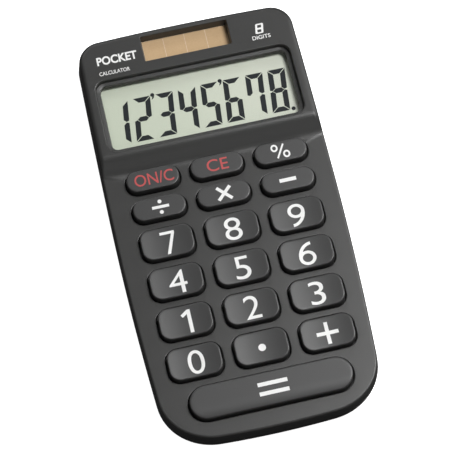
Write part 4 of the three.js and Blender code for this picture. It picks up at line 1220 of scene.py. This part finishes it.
for number, place in enumerate(CASE_SCREWS, 1):
    screw = pan_screw(f"pan_screw_{number}", place.x, place.y, REAR_Z + WELL_DEPTH)
    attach(screw, "case")
    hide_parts(f"case_screw_{number}")
for number in (1, 2, 3, 4):
    dress(f"board_screw_{number}", zinc, 0.08)

# ---------------------------------------------------------------- dome sheet and circuit board
# One moulded silicone sheet gives every key its spring. It lies on a green board that is
# held by four small screws, with the chip under a blob of black epoxy and a capacitor in a
# blue sleeve soldered beside it.
silicone = Finish("milky_silicone", Roughness=0.6, IOR=1.41, Subsurface_Weight=0.1)
cloud = silicone.grain(6, 3)
silicone.set(Base_Color=silicone.mix(cloud, (0.52, 0.51, 0.47), (0.64, 0.63, 0.60)))
silicone.set(Normal=silicone.bump(cloud, 0.03))
dress("dome_sheet", silicone, 0.12)

solder_mask = Finish("green_solder_mask", Roughness=0.3, IOR=1.5)
inputs = {"Vector": solder_mask.place(), "Scale": 220.0, "Mortar Size": 0.06}
track = solder_mask.node("ShaderNodeTexBrick", {"offset": 0.5}, inputs, output=1)
mask_tone = solder_mask.grain(7)
base_green = solder_mask.mix(mask_tone, (0.018, 0.085, 0.035), (0.028, 0.125, 0.055))
solder_mask.set(Base_Color=solder_mask.mix(0.5 * track, base_green, (0.06, 0.22, 0.10)))
solder_mask.set(Normal=solder_mask.bump(track, 0.03))
dress("circuit_board", solder_mask, 0.08)

epoxy = Finish("black_epoxy", Roughness=0.22, IOR=1.55)
ripple = epoxy.grain(2.5)
epoxy.set(Base_Color=epoxy.mix(ripple, (0.008, 0.008, 0.008), (0.02, 0.02, 0.02)))
epoxy.set(Normal=epoxy.bump(ripple, 0.08))
dress("chip_cap", epoxy, 0.3)

sleeve = Finish("blue_capacitor_sleeve", Roughness=0.35, IOR=1.5)
streak = sleeve.grain(1.5, stretch=(1, 0.2, 1))
sleeve.set(Base_Color=sleeve.mix(streak, (0.012, 0.03, 0.09), (0.03, 0.06, 0.16)))
sleeve.set(Normal=sleeve.bump(streak, 0.01))
dress("capacitor", sleeve, 0.15)

# ---------------------------------------------------------------- button cell and its contacts
# A nickel-plated cell in its ring, between two sprung strips that run to the board. The strips
# are stamped and bent from phosphor bronze.
nickel = Finish("nickel_plate", Metallic=1.0)
spin = nickel.grain(0.3, 3, 0.6)
nickel.set(Base_Color=nickel.mix(spin, (0.55, 0.54, 0.52), (0.72, 0.71, 0.69)))
nickel.set(Roughness=0.22 + 0.14 * spin)
dress("button_cell", nickel, 0.1)

bronze = Finish("phosphor_bronze", Metallic=1.0)
rolled = bronze.grain(0.4, 3, 0.6, (6, 1, 1))
bronze.set(Base_Color=bronze.mix(rolled, (0.60, 0.42, 0.22), (0.78, 0.60, 0.36)))
bronze.set(Roughness=0.3 + 0.1 * rolled)
dress("battery_contact_positive", bronze, 0.05)
dress("battery_contact_negative", bronze, 0.05)
